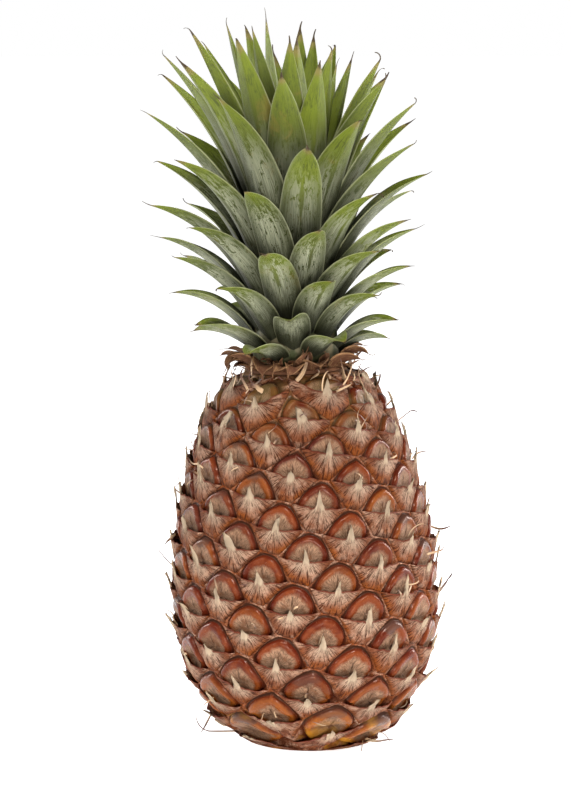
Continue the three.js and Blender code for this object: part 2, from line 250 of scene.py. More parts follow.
# Stage: lights with their place in metres, width and power, and how bright the floor and the sky are
LIGHTS = [
    ("key", (0.45, -1.1, 1.5), 0.3, 34),
    ("fill", (-1.2, -0.9, 0.9), 0.4, 11),
    ("left edge", (-1.3, 0.7, 0.5), 0.6, 16),
    ("right edge", (1.3, 0.6, 0.5), 0.6, 24),
    ("low front", (0.2, -1.4, 0.06), 0.4, 20),
]
LIT_POINT = (0, 0, 0.17)
VIEW_POINT = (-0.0117, 0, 0.1615)
SENSOR_HEIGHT = 24
FLOOR_REACH = 3e4
FLOOR_GLOW = 0.4
FLOOR_SEEN_GLOW = 0.46
SKY_LIGHT = 0.2
SKY_SEEN = 1.0


# Settings

def length(name, description, default):
    return FloatProperty(
        name=name, description=description, default=default, min=0, unit="LENGTH", precision=5
    )


def number(name, description, default, least):
    return IntProperty(name=name, description=description, default=default, min=least)


def colour(name, description, default):
    return FloatVectorProperty(
        name=name, description=description, default=default, size=3, min=0, max=1, subtype="COLOR"
    )


class PineappleFruitSettings(bpy.types.PropertyGroup):
    edge_steps: number("Steps along an eye's side", "Skin points on each side of an eye", 6, 2)
    cap_rim: colour("Cap rim", "Glossy rim of an eye's cap", (0.15, 0.03, 0.008))
    cap_rim_dark: colour("Dark cap rim", "Deepest red-brown of a rim", (0.07, 0.008, 0.003))
    cap_middle: colour("Cap middle", "Greyish middle of a cap", (0.33, 0.185, 0.11))
    groove: colour("Groove", "Dark groove between eyes", (0.03, 0.009, 0.004))
    ripe: colour("Ripe tint", "Orange tint of the ripest skin", (0.27, 0.08, 0.01))


class PineappleBractSettings(bpy.types.PropertyGroup):
    thickness: length("Thickness", "Thickness of a papery bract", 0.0005)
    spine_length: length("Spine length", "Height of a bract's spine over its edge", 0.0085)
    paper: colour("Paper", "Dry papery surface", (0.4, 0.225, 0.145))
    flush: colour("Flush", "Reddish brown patches", (0.19, 0.06, 0.027))
    streak: colour("Streak", "Dark brown streaks", (0.045, 0.01, 0.004))
    edge: colour("Edge", "Reddish upper edge", (0.16, 0.032, 0.018))
    spine: colour("Spine", "Pale spine and fibres", (0.62, 0.47, 0.32))


class PineappleCurlSettings(bpy.types.PropertyGroup):
    count: number("Curls", "Loose dry curls over the whole fruit", 110, 1)
    shoulder_count: number("Shoulder shreds", "Dry shreds round the neck", 46, 0)
    reach: length("Length", "Longest dry curl", 0.016)
    pale: colour("Pale", "Cream end of a dry curl", (0.42, 0.27, 0.15))
    dark: colour("Dark", "Brown end of a dry curl", (0.07, 0.022, 0.012))


class PineappleCrownSettings(bpy.types.PropertyGroup):
    steps: number("Steps along a leaf", "Points along each leaf's middle", 30, 8)
    hook_length: length("Tip hook", "Length of the longest dry hooked tip", 0.0055)
    bloom: colour("Bloom", "Whitish grey-green of the lower leaf", (0.32, 0.33, 0.22))
    green: colour("Green", "Green under the bloom", (0.04, 0.046, 0.012))
    tip_green: colour("Tip green", "Yellow-green of the upper leaf", (0.125, 0.155, 0.012))
    margin: colour("Margin", "Pale thin margin", (0.3, 0.3, 0.17))
    dry_tip: colour("Dry tip", "Dry brown tip", (0.045, 0.026, 0.014))


class PineappleCollarSettings(bpy.types.PropertyGroup):
    steps: number("Steps along a bract", "Points along each bract's middle", 12, 4)
    shreds: number("Shreds", "Small curled shreds among the bracts", 46, 0)
    dark: colour("Dark", "Dark brown of the dry bracts", (0.085, 0.032, 0.014))
    tan: colour("Tan", "Pale edges of the dry bracts", (0.36, 0.2, 0.09))


class PineappleStageSettings(bpy.types.PropertyGroup):
    camera_height: FloatProperty(
        name="Camera angle", description="Camera above level", default=math.radians(8), subtype="ANGLE"
    )
    camera_distance: length("Camera distance", "From the camera to the pineapple", 1.25)
    view_height: length("View height", "Height of the picture at the pineapple", 0.378)
    floor: colour("Floor", "Plain pale floor", (0.92, 0.92, 0.92))


# Numbers and shapes

def chance(k, salt):
    """A repeatable random number from 0 to 1 for item k, with a salt that tells one use from another."""
    v = math.sin(k * 12.9898 + salt * 78.233) * 43758.5453
    return v - math.floor(v)


def between(a, b, t):
    return a + (b - a) * t


def spread(k, salt, low, high):
    return between(low, high, chance(k, salt))


def either_way(k, salt, most):
    return spread(k, salt, -most, most)


def along(values, share):
    """A value from a list spread evenly over 0 to 1."""
    return float(np.interp(share, np.linspace(0, 1, len(values)), values))


def smooth_step(x, low, high):
    t = np.clip((np.asarray(x, dtype=float) - low) / (high - low), 0, 1)
    return t * t * (3 - 2 * t)


def under_step(z, start, width):
    """The area under a smooth step from 0 to 1 that begins at start and ends at start + width."""
    t = np.clip((z - start) / width, 0, 1)
    return width * (t**3 - t**4 / 2) + np.maximum(z - start - width, 0)


def lean(points):
    """Leans points: the base stays level, the fruit tips sideways and the crown straightens up again."""
    p = np.array(points, dtype=float)
    z = p[:, 2].copy()
    tilt = smooth_step(z, 0, LEAN_IN) - smooth_step(z, NECK_HEIGHT, NECK_HEIGHT + LEAN_OUT)
    shift = under_step(z, 0, LEAN_IN) - under_step(z, NECK_HEIGHT, LEAN_OUT)
    p[:, 2] = z + LEAN * p[:, 0] * tilt
    p[:, 0] -= LEAN * shift
    return p


class Outline:
    """The fruit's outline as tables: length along it, radius, height, conformal height and eyes below."""

    def __init__(self):
        ends = [OUTLINE[0], *OUTLINE, OUTLINE[-1]]
        rows = []
        for i in range(OUTLINE_STEPS + 1):
            at = i / OUTLINE_STEPS * (len(OUTLINE) - 1)
            k = min(int(at), len(OUTLINE) - 2)
            t = at - k
            p0, p1, p2, p3 = (np.array(ends[k + j], dtype=float) for j in range(4))
            v0, v1 = (p2 - p0) / 2, (p3 - p1) / 2
            cubic = 2 * p1 - 2 * p2 + v0 + v1
            square = -3 * p1 + 3 * p2 - 2 * v0 - v1
            rows.append(cubic * t**3 + square * t**2 + v0 * t + p1)
        rows = np.array(rows)
        self.r, self.z = rows[:, 0], rows[:, 1]
        steps = np.hypot(np.diff(self.r), np.diff(self.z))
        middle = (self.r[1:] + self.r[:-1]) / 2
        self.s = np.concatenate([[0], np.cumsum(steps)])
        self.q = np.concatenate([[0], np.cumsum(steps / middle)])
        area = EYE_AREA - EYE_AREA_LOSS * self.z[1:]
        self.eyes = np.concatenate([[0], np.cumsum(2 * math.pi * middle * steps / area)])
        self.normal_r = np.gradient(self.z, self.s)
        self.normal_z = -np.gradient(self.r, self.s)
        self.length = self.s[-1]
        self.middle_q = self.q[-1] / 2

    def skin(self, turn, s, height):
        """Points on the skin at turn and length s up the outline, raised by height along its normal."""
        turn, s, height = np.broadcast_arrays(*(np.asarray(v, dtype=float) for v in (turn, s, height)))
        s = np.clip(s, 0, self.length)
        fade = smooth_step(np.minimum(s, self.length - s), 0, RELIEF_FADE)
        h = np.where(height > 0, height * fade, height)
        r = np.interp(s, self.s, self.r) + h * np.interp(s, self.s, self.normal_r)
        z = np.interp(s, self.s, self.z) + h * np.interp(s, self.s, self.normal_z)
        return lean(np.stack([r * np.sin(turn), -r * np.cos(turn), z], axis=-1).reshape(-1, 3))


class Eyes:
    """Where the eyes sit on the skin, and the corners of the patch round each."""

    def __init__(self, outline):
        self.outline = outline
        front = float(np.interp(FRONT_EYE_HEIGHT, outline.z, outline.eyes))
        self.turns, self.heights = [], []
        eyes = front % 1
        while eyes < outline.eyes[-1] - END_EYES:
            if eyes >= END_EYES:
                turn = FRONT_EYE_TURN + DIVERGENCE * round(eyes - front)
                self.turns.append(math.radians(math.fmod(turn, 360)))
                self.heights.append(float(np.interp(eyes, outline.eyes, outline.s)))
            eyes += 1
        self._find_patches()

    def _find_patches(self):
        o = self.outline
        bm = bmesh.new()
        for turn, s in zip(self.turns, self.heights):
            q = np.interp(s, o.s, o.q) - o.middle_q
            across = 1 / math.cosh(q)
            bm.verts.new((across * math.sin(turn), -across * math.cos(turn), math.tanh(q)))
        bm.verts.new((0, 0, -1))
        bm.verts.new((0, 0, 1))
        self.foot, self.neck = len(self.turns), len(self.turns) + 1
        bm.verts.index_update()
        bmesh.ops.convex_hull(bm, input=bm.verts)
        bmesh.ops.triangulate(bm, faces=bm.faces)
        self.corners = []
        after = [{} for _ in bm.verts]
        for face in bm.faces:
            face.normal_update()
            own = [v.index for v in face.verts]
            n = face.normal
            if n.dot(face.calc_center_median()) < 0:
                own.reverse()
                n = -n
            s = float(np.interp(o.middle_q + math.atanh(n.z), o.q, o.s))
            if self.foot in own:
                s = 0.0
            if self.neck in own:
                s = o.length
            for i in range(3):
                after[own[i]][own[(i + 1) % 3]] = (len(self.corners), own[(i + 2) % 3])
            self.corners.append((math.atan2(n.x, -n.y), s))
        bm.free()
        self.rings = []
        for steps in after:
            at = next(iter(steps))
            ring = []
            while len(ring) < len(steps):
                corner, at = steps[at]
                ring.append(corner)
            self.rings.append(ring)

    def local(self, eye):
        """An eye's corners, measured from its middle, across and up the skin in radians and millimetres."""
        turn, s = self.turns[eye], self.heights[eye]
        out = []
        for c in self.rings[eye]:
            turned = self.corners[c][0] - turn
            out.append((math.atan2(math.sin(turned), math.cos(turned)), self.corners[c][1] - s))
        return np.array(out)

    def radius(self, eye):
        return float(np.interp(self.heights[eye], self.outline.s, self.outline.r))


outline = Outline()
eyes = Eyes(outline)


def new_object(name, data):
    obj = bpy.data.objects.new(name, data)
    bpy.context.scene.collection.objects.link(obj)
    return obj


def set_values(mesh, key, values):
    """Names a number or a vector at each point of a mesh."""
    values = np.asarray(values, dtype=np.float32)
    kind, field = ("FLOAT_VECTOR", "vector") if values.ndim == 2 else ("FLOAT", "value")
    mesh.attributes.new(key, kind, "POINT").data.foreach_set(field, values.ravel())


def new_mesh_object(name, points, faces, attributes=None):
    """A mesh object in metres from points in millimetres, with named values at its points."""
    mesh = bpy.data.meshes.new(name)
    mesh.from_pydata((np.asarray(points) * MM).tolist(), [], faces)
    mesh.validate()
    for key, values in (attributes or {}).items():
        set_values(mesh, key, values)
    mesh.polygons.foreach_set("use_smooth", [True] * len(mesh.polygons))
    mesh.update()
    return new_object(name, mesh)


def declare(obj, node):
    """Hands a finished piece over: it rides on the root, and the solid it stands for is hidden."""
    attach(obj, "root")
    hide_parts(node)


# Materials

# Colours of marks that no setting changes
RIM_BRUISE = (0.05, 0.012, 0.01)
RIM_SPECK = (0.4, 0.18, 0.09)
MIDDLE_SPECK = (0.46, 0.3, 0.19)
MIDDLE_STAIN = (0.15, 0.05, 0.02)
TOP_BRUISE = (0.045, 0.03, 0.024)
DRY_ORANGE = (0.22, 0.048, 0.007)
NECK_OLIVE = (0.1, 0.075, 0.02)
# ripe yellow of the foot, partly painted light from the floor below
YELLOW_FOOT_AND_PAINTED_LIGHT = (0.42, 0.19, 0.02)
WOOD_DARK = (0.16, 0.085, 0.04)
WOOD_PALE = (0.42, 0.29, 0.15)
CROWN_SHADE = (0.02, 0.006, 0.002)
BRACT_ORANGE = (0.25, 0.06, 0.009)
BRACT_FAN = (0.58, 0.4, 0.28)
BRACT_BLOT = (0.045, 0.018, 0.02)
BRACT_FOOT = (0.035, 0.012, 0.008)
SPINE_TIP = (0.2, 0.11, 0.04)
LEAF_BROWN = (0.17, 0.11, 0.025)
LEAF_SCRATCH = (0.03, 0.036, 0.01)
# painted shade over the leaf roots deep inside the crown
LEAF_ROOT_PAINTED_SHADE = (0.012, 0.012, 0.005)
LEAF_WITHERED = (0.17, 0.12, 0.045)
STEM_BROWN = (0.12, 0.1, 0.05)

# Heights in metres between which the fruit's colour changes; the orange and yellow foot is partly painted
# light from the floor below
SHADE_HEIGHTS = (0.04, 0.17)
SHADE_SHARE = 0.3
OLIVE_HEIGHTS = (0.142, 0.172)
RIPE_AND_PAINTED_LIGHT_HEIGHTS = (0.05, 0.01)
YELLOW_FOOT_AND_PAINTED_LIGHT_HEIGHTS = (0.024, 0.008)

# Where the fibres fan out from, in an eye's own units of 10 mm
CAP_FAN_DROP = 0.28
BRACT_FAN_RISE = 0.12


def darker(colour, share):
    return tuple(c * share for c in colour)


class Shades:
    """Builds one material's nodes, each given with its inputs by name or place."""

    def __init__(self, name):
        self.material = bpy.data.materials.new(name)
        self.material.use_nodes = True
        self.tree = self.material.node_tree
        self.surface = self.tree.nodes["Principled BSDF"]

    def add(self, kind, inputs=(), **settings):
        node = self.tree.nodes.new(kind)
        for key, value in settings.items():
            setattr(node, key, value)
        for key, value in dict(inputs).items():
            self.put(node.inputs[key], value)
        return node

    def put(self, socket, value):
        if isinstance(value, bpy.types.NodeSocket):
            self.tree.links.new(value, socket)
        elif socket.type == "RGBA" and len(value) == 3:
            socket.default_value = (*value, 1)
        else:
            socket.default_value = value

    def attribute(self, name):
        return self.add("ShaderNodeAttribute", attribute_name=name)

    def value(self, name):
        return self.attribute(name).outputs["Fac"]

    def vector(self, name):
        return self.attribute(name).outputs["Vector"]

    def place(self):
        return self.add("ShaderNodeTexCoord").outputs["Object"]

    def split(self, vector):
        return self.add("ShaderNodeSeparateXYZ", {0: vector}).outputs

    def maths(self, operation, a, b=0.5):
        return self.add("ShaderNodeMath", {0: a, 1: b}, operation=operation).outputs[0]

    def times(self, a, *others):
        for b in others:
            a = self.maths("MULTIPLY", a, b)
        return a

    def plus(self, a, *others):
        for b in others:
            a = self.maths("ADD", a, b)
        return a

    def less(self, a, b):
        return self.maths("SUBTRACT", a, b)

    def size_of(self, a):
        return self.maths("ABSOLUTE", a)

    def swing(self, noise, amount, middle=0.5):
        """How far a noise is off its middle, times an amount, to make an edge ragged."""
        return self.times(self.less(noise, middle), amount)

    def draw(self, tint, times):
        """Another number from 0 to 1 for the same eye."""
        return self.maths("FRACT", self.times(tint, times))

    def polar(self, x, y):
        """The direction of a place, from upwards, and its distance."""
        squares = self.plus(self.times(x, x), self.times(y, y))
        return self.maths("ARCTAN2", x, y), self.maths("SQRT", squares)

    def stretched(self, a, b, seed, times_a, times_b):
        """A place for noise that is drawn out along b, different for each seed."""
        inputs = {0: self.times(a, times_a), 1: self.times(b, times_b), 2: seed}
        return self.add("ShaderNodeCombineXYZ", inputs).outputs[0]

    def noise(self, vector, scale, detail=3.0, rough=0.55, distortion=0.0):
        inputs = {"Vector": vector, "Scale": scale, "Detail": detail}
        inputs |= {"Roughness": rough, "Distortion": distortion}
        return self.add("ShaderNodeTexNoise", inputs).outputs["Fac"]

    def step(self, value, low, high, start=0.0, end=1.0):
        """A smooth change from start to end as the value goes from low to high."""
        inputs = {"Value": value, "From Min": low, "From Max": high, "To Min": start, "To Max": end}
        return self.add("ShaderNodeMapRange", inputs, interpolation_type="SMOOTHSTEP").outputs["Result"]

    def mix(self, factor, a, b):
        node = self.add("ShaderNodeMix", data_type="RGBA", clamp_factor=True)
        sockets = [s for s in node.inputs if s.enabled]
        for socket, value in zip(sockets, (factor, a, b)):
            self.put(socket, value)
        return next(s for s in node.outputs if s.enabled)

    def over(self, under, top, share, where):
        """Lays one colour over another, at most by a share, where a mask says."""
        return self.mix(self.times(where, share), under, top)

    def under_crown(self, colour, height):
        """Darkens the fruit a little towards its top, which the crown shades."""
        return self.mix(self.step(height, *SHADE_HEIGHTS, 0.0, SHADE_SHARE), colour, CROWN_SHADE)

    def bump(self, height, strength, distance):
        inputs = {"Height": height, "Strength": strength, "Distance": distance}
        return self.add("ShaderNodeBump", inputs).outputs["Normal"]

    def finish(self, colour, roughness, normal=None, **fixed):
        self.put(self.surface.inputs["Base Color"], colour)
        self.put(self.surface.inputs["Roughness"], roughness)
        if normal is not None:
            self.put(self.surface.inputs["Normal"], normal)
        for key, value in fixed.items():
            self.put(self.surface.inputs[key.replace("_", " ")], value)
        return self.material


def cap_rim(m, settings, out, tint, height, noises):
    """Glossy rim, deepest towards the groove, with a few ripe or bruised eyes, an orange foot that is ripe
    colour and partly painted light from the floor below, and fine specks.
    """
    mottle, coarse, fine = noises
    patches = m.step(m.plus(mottle, m.times(coarse, 0.4)), 0.55, 0.8)
    rim = m.mix(patches, settings.cap_rim_dark, settings.cap_rim)
    rim = m.over(rim, settings.ripe, 0.4, m.step(tint, 0.8, 1.0))
    # Orange towards the foot: ripe colour, and partly painted light from the floor below
    rim = m.over(rim, settings.ripe, 0.7, m.step(height, *RIPE_AND_PAINTED_LIGHT_HEIGHTS))
    rim = m.over(rim, settings.cap_rim_dark, 0.8, m.step(m.plus(out, m.times(coarse, 0.06)), 0.84, 0.98))
    rim = m.over(rim, RIM_BRUISE, 0.5, m.step(tint, 0.15, 0.0))
    rim = m.over(rim, RIM_SPECK, 0.3, m.step(fine, 0.58, 0.7))
    return m.over(rim, settings.cap_rim_dark, 0.5, m.step(fine, 0.44, 0.34))


def cap_middle(m, settings, fibres, noises):
    """Greyish middle with dark fibres, pale specks and brown stains."""
    _, coarse, fine = noises
    middle = m.mix(m.step(fibres, 0.4, 0.58), darker(settings.cap_middle, 0.3), settings.cap_middle)
    middle = m.over(middle, MIDDLE_SPECK, 0.55, m.step(fine, 0.56, 0.74))
    return m.over(middle, MIDDLE_STAIN, 0.6, m.step(coarse, 0.52, 0.66))


def dry_skin(m, papery, noises):
    """Dry skin between the caps, like the bracts over it."""
    mottle, coarse, fine = noises
    dry = m.mix(m.step(coarse, 0.45, 0.62), papery.flush, papery.paper)
    dry = m.over(dry, DRY_ORANGE, 0.75, m.step(mottle, 0.45, 0.58))
    dry = m.over(dry, papery.streak, 0.85, m.step(fine, 0.52, 0.4))
    return m.over(dry, papery.streak, 0.6, m.step(coarse, 0.48, 0.36))


def rind_material(settings, papery):
    """Glossy caps with a greyish, fibrous middle, dark grooves, and a cut, fibrous base."""
    m = Shades("rind")
    place = m.place()
    height = m.split(place)[2]
    out = m.value("from_middle")
    tint = m.value("eye_tint")
    base = m.value("base")
    x, y, _ = m.split(m.vector("in_eye"))
    mottle = m.noise(place, 75, 3, 0.5)
    coarse = m.noise(place, 220, 5, 0.6)
    fine = m.noise(place, 1100, 5, 0.7)
    noises = (mottle, coarse, fine)
    # Fibres fan out from the foot of the spine, and the rim's ragged inner edge differs from eye to eye
    angle, away = m.polar(x, m.plus(y, CAP_FAN_DROP))
    fibres = m.noise(m.stretched(angle, away, m.times(tint, 71.0), 7.0, 1.3), 4.0, 5, 0.7)
    reach = m.plus(out, m.swing(coarse, 0.4), m.swing(fibres, 0.3), m.step(y, 0.0, 0.8, 0.0, 0.07))
    reach = m.plus(reach, m.step(m.draw(tint, 13.7), 0.0, 1.0, -0.09, 0.08))
    middle = cap_middle(m, settings, fibres, noises)
    skin = m.mix(m.step(reach, 0.55, 0.76), middle, cap_rim(m, settings, out, tint, height, noises))
    # Grey or blackish bruise at the top of some caps
    bruise = m.plus(m.less(y, m.times(m.size_of(x), 0.6)), coarse)
    bruise = m.times(m.step(bruise, 0.92, 1.2), m.step(m.draw(tint, 7.3), 0.5, 0.8))
    skin = m.over(skin, TOP_BRUISE, 0.7, bruise)
    # Creases where the three sepals of each cap meet
    petals = m.maths("ARCTAN2", x, m.plus(y, 0.05))
    waves = m.maths("SINE", m.plus(m.times(petals, 3.0), m.times(coarse, 2.4)))
    crease = m.times(m.step(waves, 0.93, 1.0), m.step(out, 0.62, 0.2))
    skin = m.over(skin, settings.groove, 0.8, crease)
    # Groove round the cap, darkest at its top, and dry skin beyond it
    line = m.step(m.plus(out, m.times(coarse, 0.04)), 0.95, 1.0)
    skin = m.over(skin, settings.groove, m.step(y, -0.3, 0.6, 0.4, 1.0), line)
    skin = m.mix(m.step(m.plus(out, m.swing(coarse, 0.7)), 1.15, 1.75), skin, dry_skin(m, papery, noises))
    # Olive skin towards the neck, yellow at the foot (ripe colour and partly painted light from the floor
    # below), and cut wood on the base
    skin = m.over(skin, NECK_OLIVE, 0.55, m.times(m.step(height, *OLIVE_HEIGHTS), m.step(mottle, 0.35, 0.6)))
    skin = m.over(skin, YELLOW_FOOT_AND_PAINTED_LIGHT, 0.7, m.times(m.step(height, *YELLOW_FOOT_AND_PAINTED_LIGHT_HEIGHTS), m.step(mottle, 0.5, 0.62)))
    wood = m.mix(m.step(fine, 0.3, 0.7), WOOD_DARK, WOOD_PALE)
    colour = m.mix(base, m.under_crown(skin, height), wood)
    matt = m.step(m.plus(base, m.step(out, 0.9, 1)), 0.0, 1.0, 0.0, 0.75)
    rough = m.maths("MAXIMUM", matt, m.step(reach, 0.55, 0.76, 0.58, 0.24))
    bumps = m.plus(m.times(fine, 0.3), m.times(coarse, 0.8), m.times(fibres, m.step(reach, 0.72, 0.5)))
    normal = m.bump(m.less(bumps, m.times(crease, 0.8)), 0.6, 0.0007)
    gloss = {"Specular_IOR_Level": 0.2, "Specular_Tint": (1, 0.55, 0.35)}
    return m.finish(colour, rough, normal, **gloss, Coat_Weight=0.05, Coat_Roughness=0.12)


def bract_material(settings):
    """Dry paper with streaks and pale fibres fanning down from a pale spine, and a reddish upper edge."""
    m = Shades("papery bract")
    place = m.place()
    x, y, _ = m.split(m.vector("in_eye"))
    spine = m.value("spine")
    up = m.value("up")
    tint = m.value("eye_tint")
    angle, away = m.polar(x, m.less(BRACT_FAN_RISE, y))
    aside = m.size_of(angle)
    seed = m.times(tint, 37.0)
    streaks = m.noise(m.stretched(angle, away, seed, 7.0, 0.7), 2.6, 5, 0.7)
    fibres = m.noise(m.stretched(angle, away, seed, 20.0, 0.6), 2.2, 3, 0.65)
    patches = m.noise(place, 130, 4, 0.6)
    blots = m.noise(place, 48, 3, 0.6)
    specks = m.noise(place, 700, 3, 0.7)
    colour = m.mix(m.step(patches, 0.42, 0.62), settings.flush, settings.paper)
    colour = m.over(colour, BRACT_ORANGE, 0.85, m.times(m.step(up, 0.62, 0.2), m.step(blots, 0.42, 0.54)))
    # Pale fan under the spine, stronger on some bracts than on others, with dark streaks, blots and specks
    fan = m.times(m.step(away, 1.15, 0.35), m.step(aside, 1.35, 0.5))
    colour = m.over(colour, BRACT_FAN, m.step(m.draw(tint, 5.1), 0.0, 1.0, 0.3, 0.85), fan)
    colour = m.over(colour, settings.streak, 0.95, m.step(streaks, 0.5, 0.42))
    colour = m.over(colour, BRACT_BLOT, 0.55, m.step(blots, 0.6, 0.7))
    colour = m.over(colour, settings.streak, 0.5, m.step(specks, 0.52, 0.62))
    # Pale fibres and spine, with a brown tip
    pale = m.times(m.step(fibres, 0.5, 0.62), m.step(away, 1.0, 0.2), m.step(aside, 1.25, 0.7))
    colour = m.mix(m.maths("MAXIMUM", pale, m.step(spine, 0.02, 0.2)), colour, settings.spine)
    colour = m.over(colour, SPINE_TIP, 0.6, m.step(spine, 0.75, 1.0))
    # Reddish upper edge and dark foot
    colour = m.over(colour, settings.edge, 0.85, m.times(m.step(up, 0.88, 0.96), m.step(spine, 0.12, 0.0)))
    colour = m.over(colour, BRACT_FOOT, 0.7, m.times(m.step(up, 0.3, 0.0), m.step(patches, 0.5, 0.62)))
    colour = m.under_crown(colour, m.split(place)[2])
    normal = m.bump(m.plus(fibres, m.times(streaks, 1.2)), 0.9, 0.0009)
    return m.finish(colour, 0.6, normal, Specular_IOR_Level=0.12, Specular_Tint=(1, 0.6, 0.4))


def leaf_material(settings):
    """Waxy green under a whitish bloom that is rubbed off in places, with a dry brown tip."""
    m = Shades("crown leaf")
    t = m.value("along")
    x = m.value("across")
    tint = m.value("tint")
    bloom = m.value("bloom")
    edge = m.size_of(x)
    seed = m.times(tint, 53.0)
    stripes = m.noise(m.stretched(x, t, seed, 9.0, 2.2), 3.0, 4, 0.6)
    fine_veins = m.noise(m.stretched(x, t, seed, 34.0, 3.0), 2.0, 2, 0.5)
    rubbed = m.noise(m.stretched(x, t, seed, 4.5, 11.0), 1.5, 6, 0.78, 0.7)
    blots = m.noise(m.place(), 70, 5, 0.65, 0.8)
    # Olive below, yellow-green above, with brownish stripes here and there
    high = m.plus(t, m.swing(tint, 0.3))
    green = m.mix(m.step(high, 0.45, 0.95), settings.green, settings.tip_green)
    green = m.over(green, darker(settings.green, 0.45), 0.5, m.step(stripes, 0.5, 0.7))
    green = m.over(green, LEAF_BROWN, 0.4, m.step(blots, 0.58, 0.72))
    # Bloom lies on the lower leaf, with ragged marks and a spindle down its middle where it is gone
    wave = m.swing(stripes, 0.3)
    up_leaf = m.plus(t, wave)
    cover = m.step(up_leaf, m.step(bloom, 0.0, 1.0, 0.6, 1.16), m.step(bloom, 0.0, 1.0, 0.3, 0.86))
    worn = m.plus(rubbed, m.times(m.step(t, 0.5, 0.95), 0.15))
    kept = m.times(m.step(worn, 0.6, 0.54), m.step(edge, 0.95, 0.3, 0.3, 1.0))
    spindle = m.plus(edge, m.times(m.size_of(m.less(t, 0.6)), 0.7), wave)
    spindle = m.times(m.step(spindle, 0.17, 0.11), m.step(tint, 0.3, 0.4))
    kept = m.times(kept, m.less(1.0, m.times(spindle, 0.85)))
    amount = m.times(cover, kept, m.step(bloom, 0.0, 1.0, 0.55, 1.0))
    pale = m.mix(m.step(stripes, 0.35, 0.65), darker(settings.bloom, 0.6), settings.bloom)
    colour = m.mix(amount, green, pale)
    colour = m.over(colour, LEAF_SCRATCH, 0.7, m.times(m.step(worn, 0.62, 0.7), m.step(t, 1.0, 0.8)))
    # Painted shade over the root, deep among the other leaves, and pale margins
    colour = m.over(colour, LEAF_ROOT_PAINTED_SHADE, 0.93, m.step(up_leaf, m.step(bloom, 0.3, 1.0, 0.74, 0.62), 0.24))
    colour = m.over(colour, settings.margin, 0.45, m.step(edge, 0.93, 1.0))
    # Dry tip, longer on some leaves than on others
    ragged = m.plus(t, m.swing(blots, 0.1), m.swing(tint, 0.05, 0.6))
    colour = m.over(colour, LEAF_WITHERED, 0.7, m.step(ragged, 0.93, 0.97))
    colour = m.mix(m.step(ragged, 0.975, 1.0), colour, settings.dry_tip)
    relief = m.plus(stripes, m.times(fine_veins, 0.7), m.times(amount, 0.3))
    rough = m.step(amount, 0.0, 1.0, 0.4, 0.58)
    normal = m.bump(relief, 0.45, 0.0005)
    return m.finish(colour, rough, normal, Specular_IOR_Level=0.24, Specular_Tint=(0.9, 1, 0.7))


def stem_material(settings):
    """Pale green core of the crown, hidden but for its foot."""
    m = Shades("crown stem")
    patches = m.noise(m.place(), 150, 3, 0.6)
    return m.finish(m.mix(m.step(patches, 0.4, 0.6), settings.green, STEM_BROWN), 0.6)


def collar_material(settings):
    """Brittle brown bracts with paler edges."""
    m = Shades("dry bract")
    across = m.value("across")
    seed = m.times(m.value("tint"), 29.0)
    stripes = m.noise(m.stretched(across, m.value("along"), seed, 6.0, 1.0), 4.0, 4, 0.65)
    patches = m.noise(m.place(), 200, 3, 0.6)
    light = m.times(m.step(stripes, 0.45, 0.7), m.step(patches, 0.35, 0.65))
    light = m.maths("MAXIMUM", light, m.times(m.step(m.size_of(across), 0.75, 1.0), 0.5))
    colour = m.mix(light, settings.dark, settings.tan)
    return m.finish(colour, 0.75, m.bump(stripes, 0.6, 0.0006), Specular_IOR_Level=0.2)


def curl_material(settings):
    """Thin dry curls, cream at the root to brown at the tip, or the other way round."""
    m = Shades("dry curl")
    end = m.plus(m.value("along"), m.less(m.value("tint"), 0.5))
    return m.finish(m.mix(m.step(end, 0.1, 0.9), settings.pale, settings.dark), 0.6)


# Fruit

def smooth_ring(values, reach):
    """The average of each value with its neighbours up to reach places away round a ring."""
    return sum(np.roll(values, k) for k in range(-reach, reach + 1)) / (2 * reach + 1)


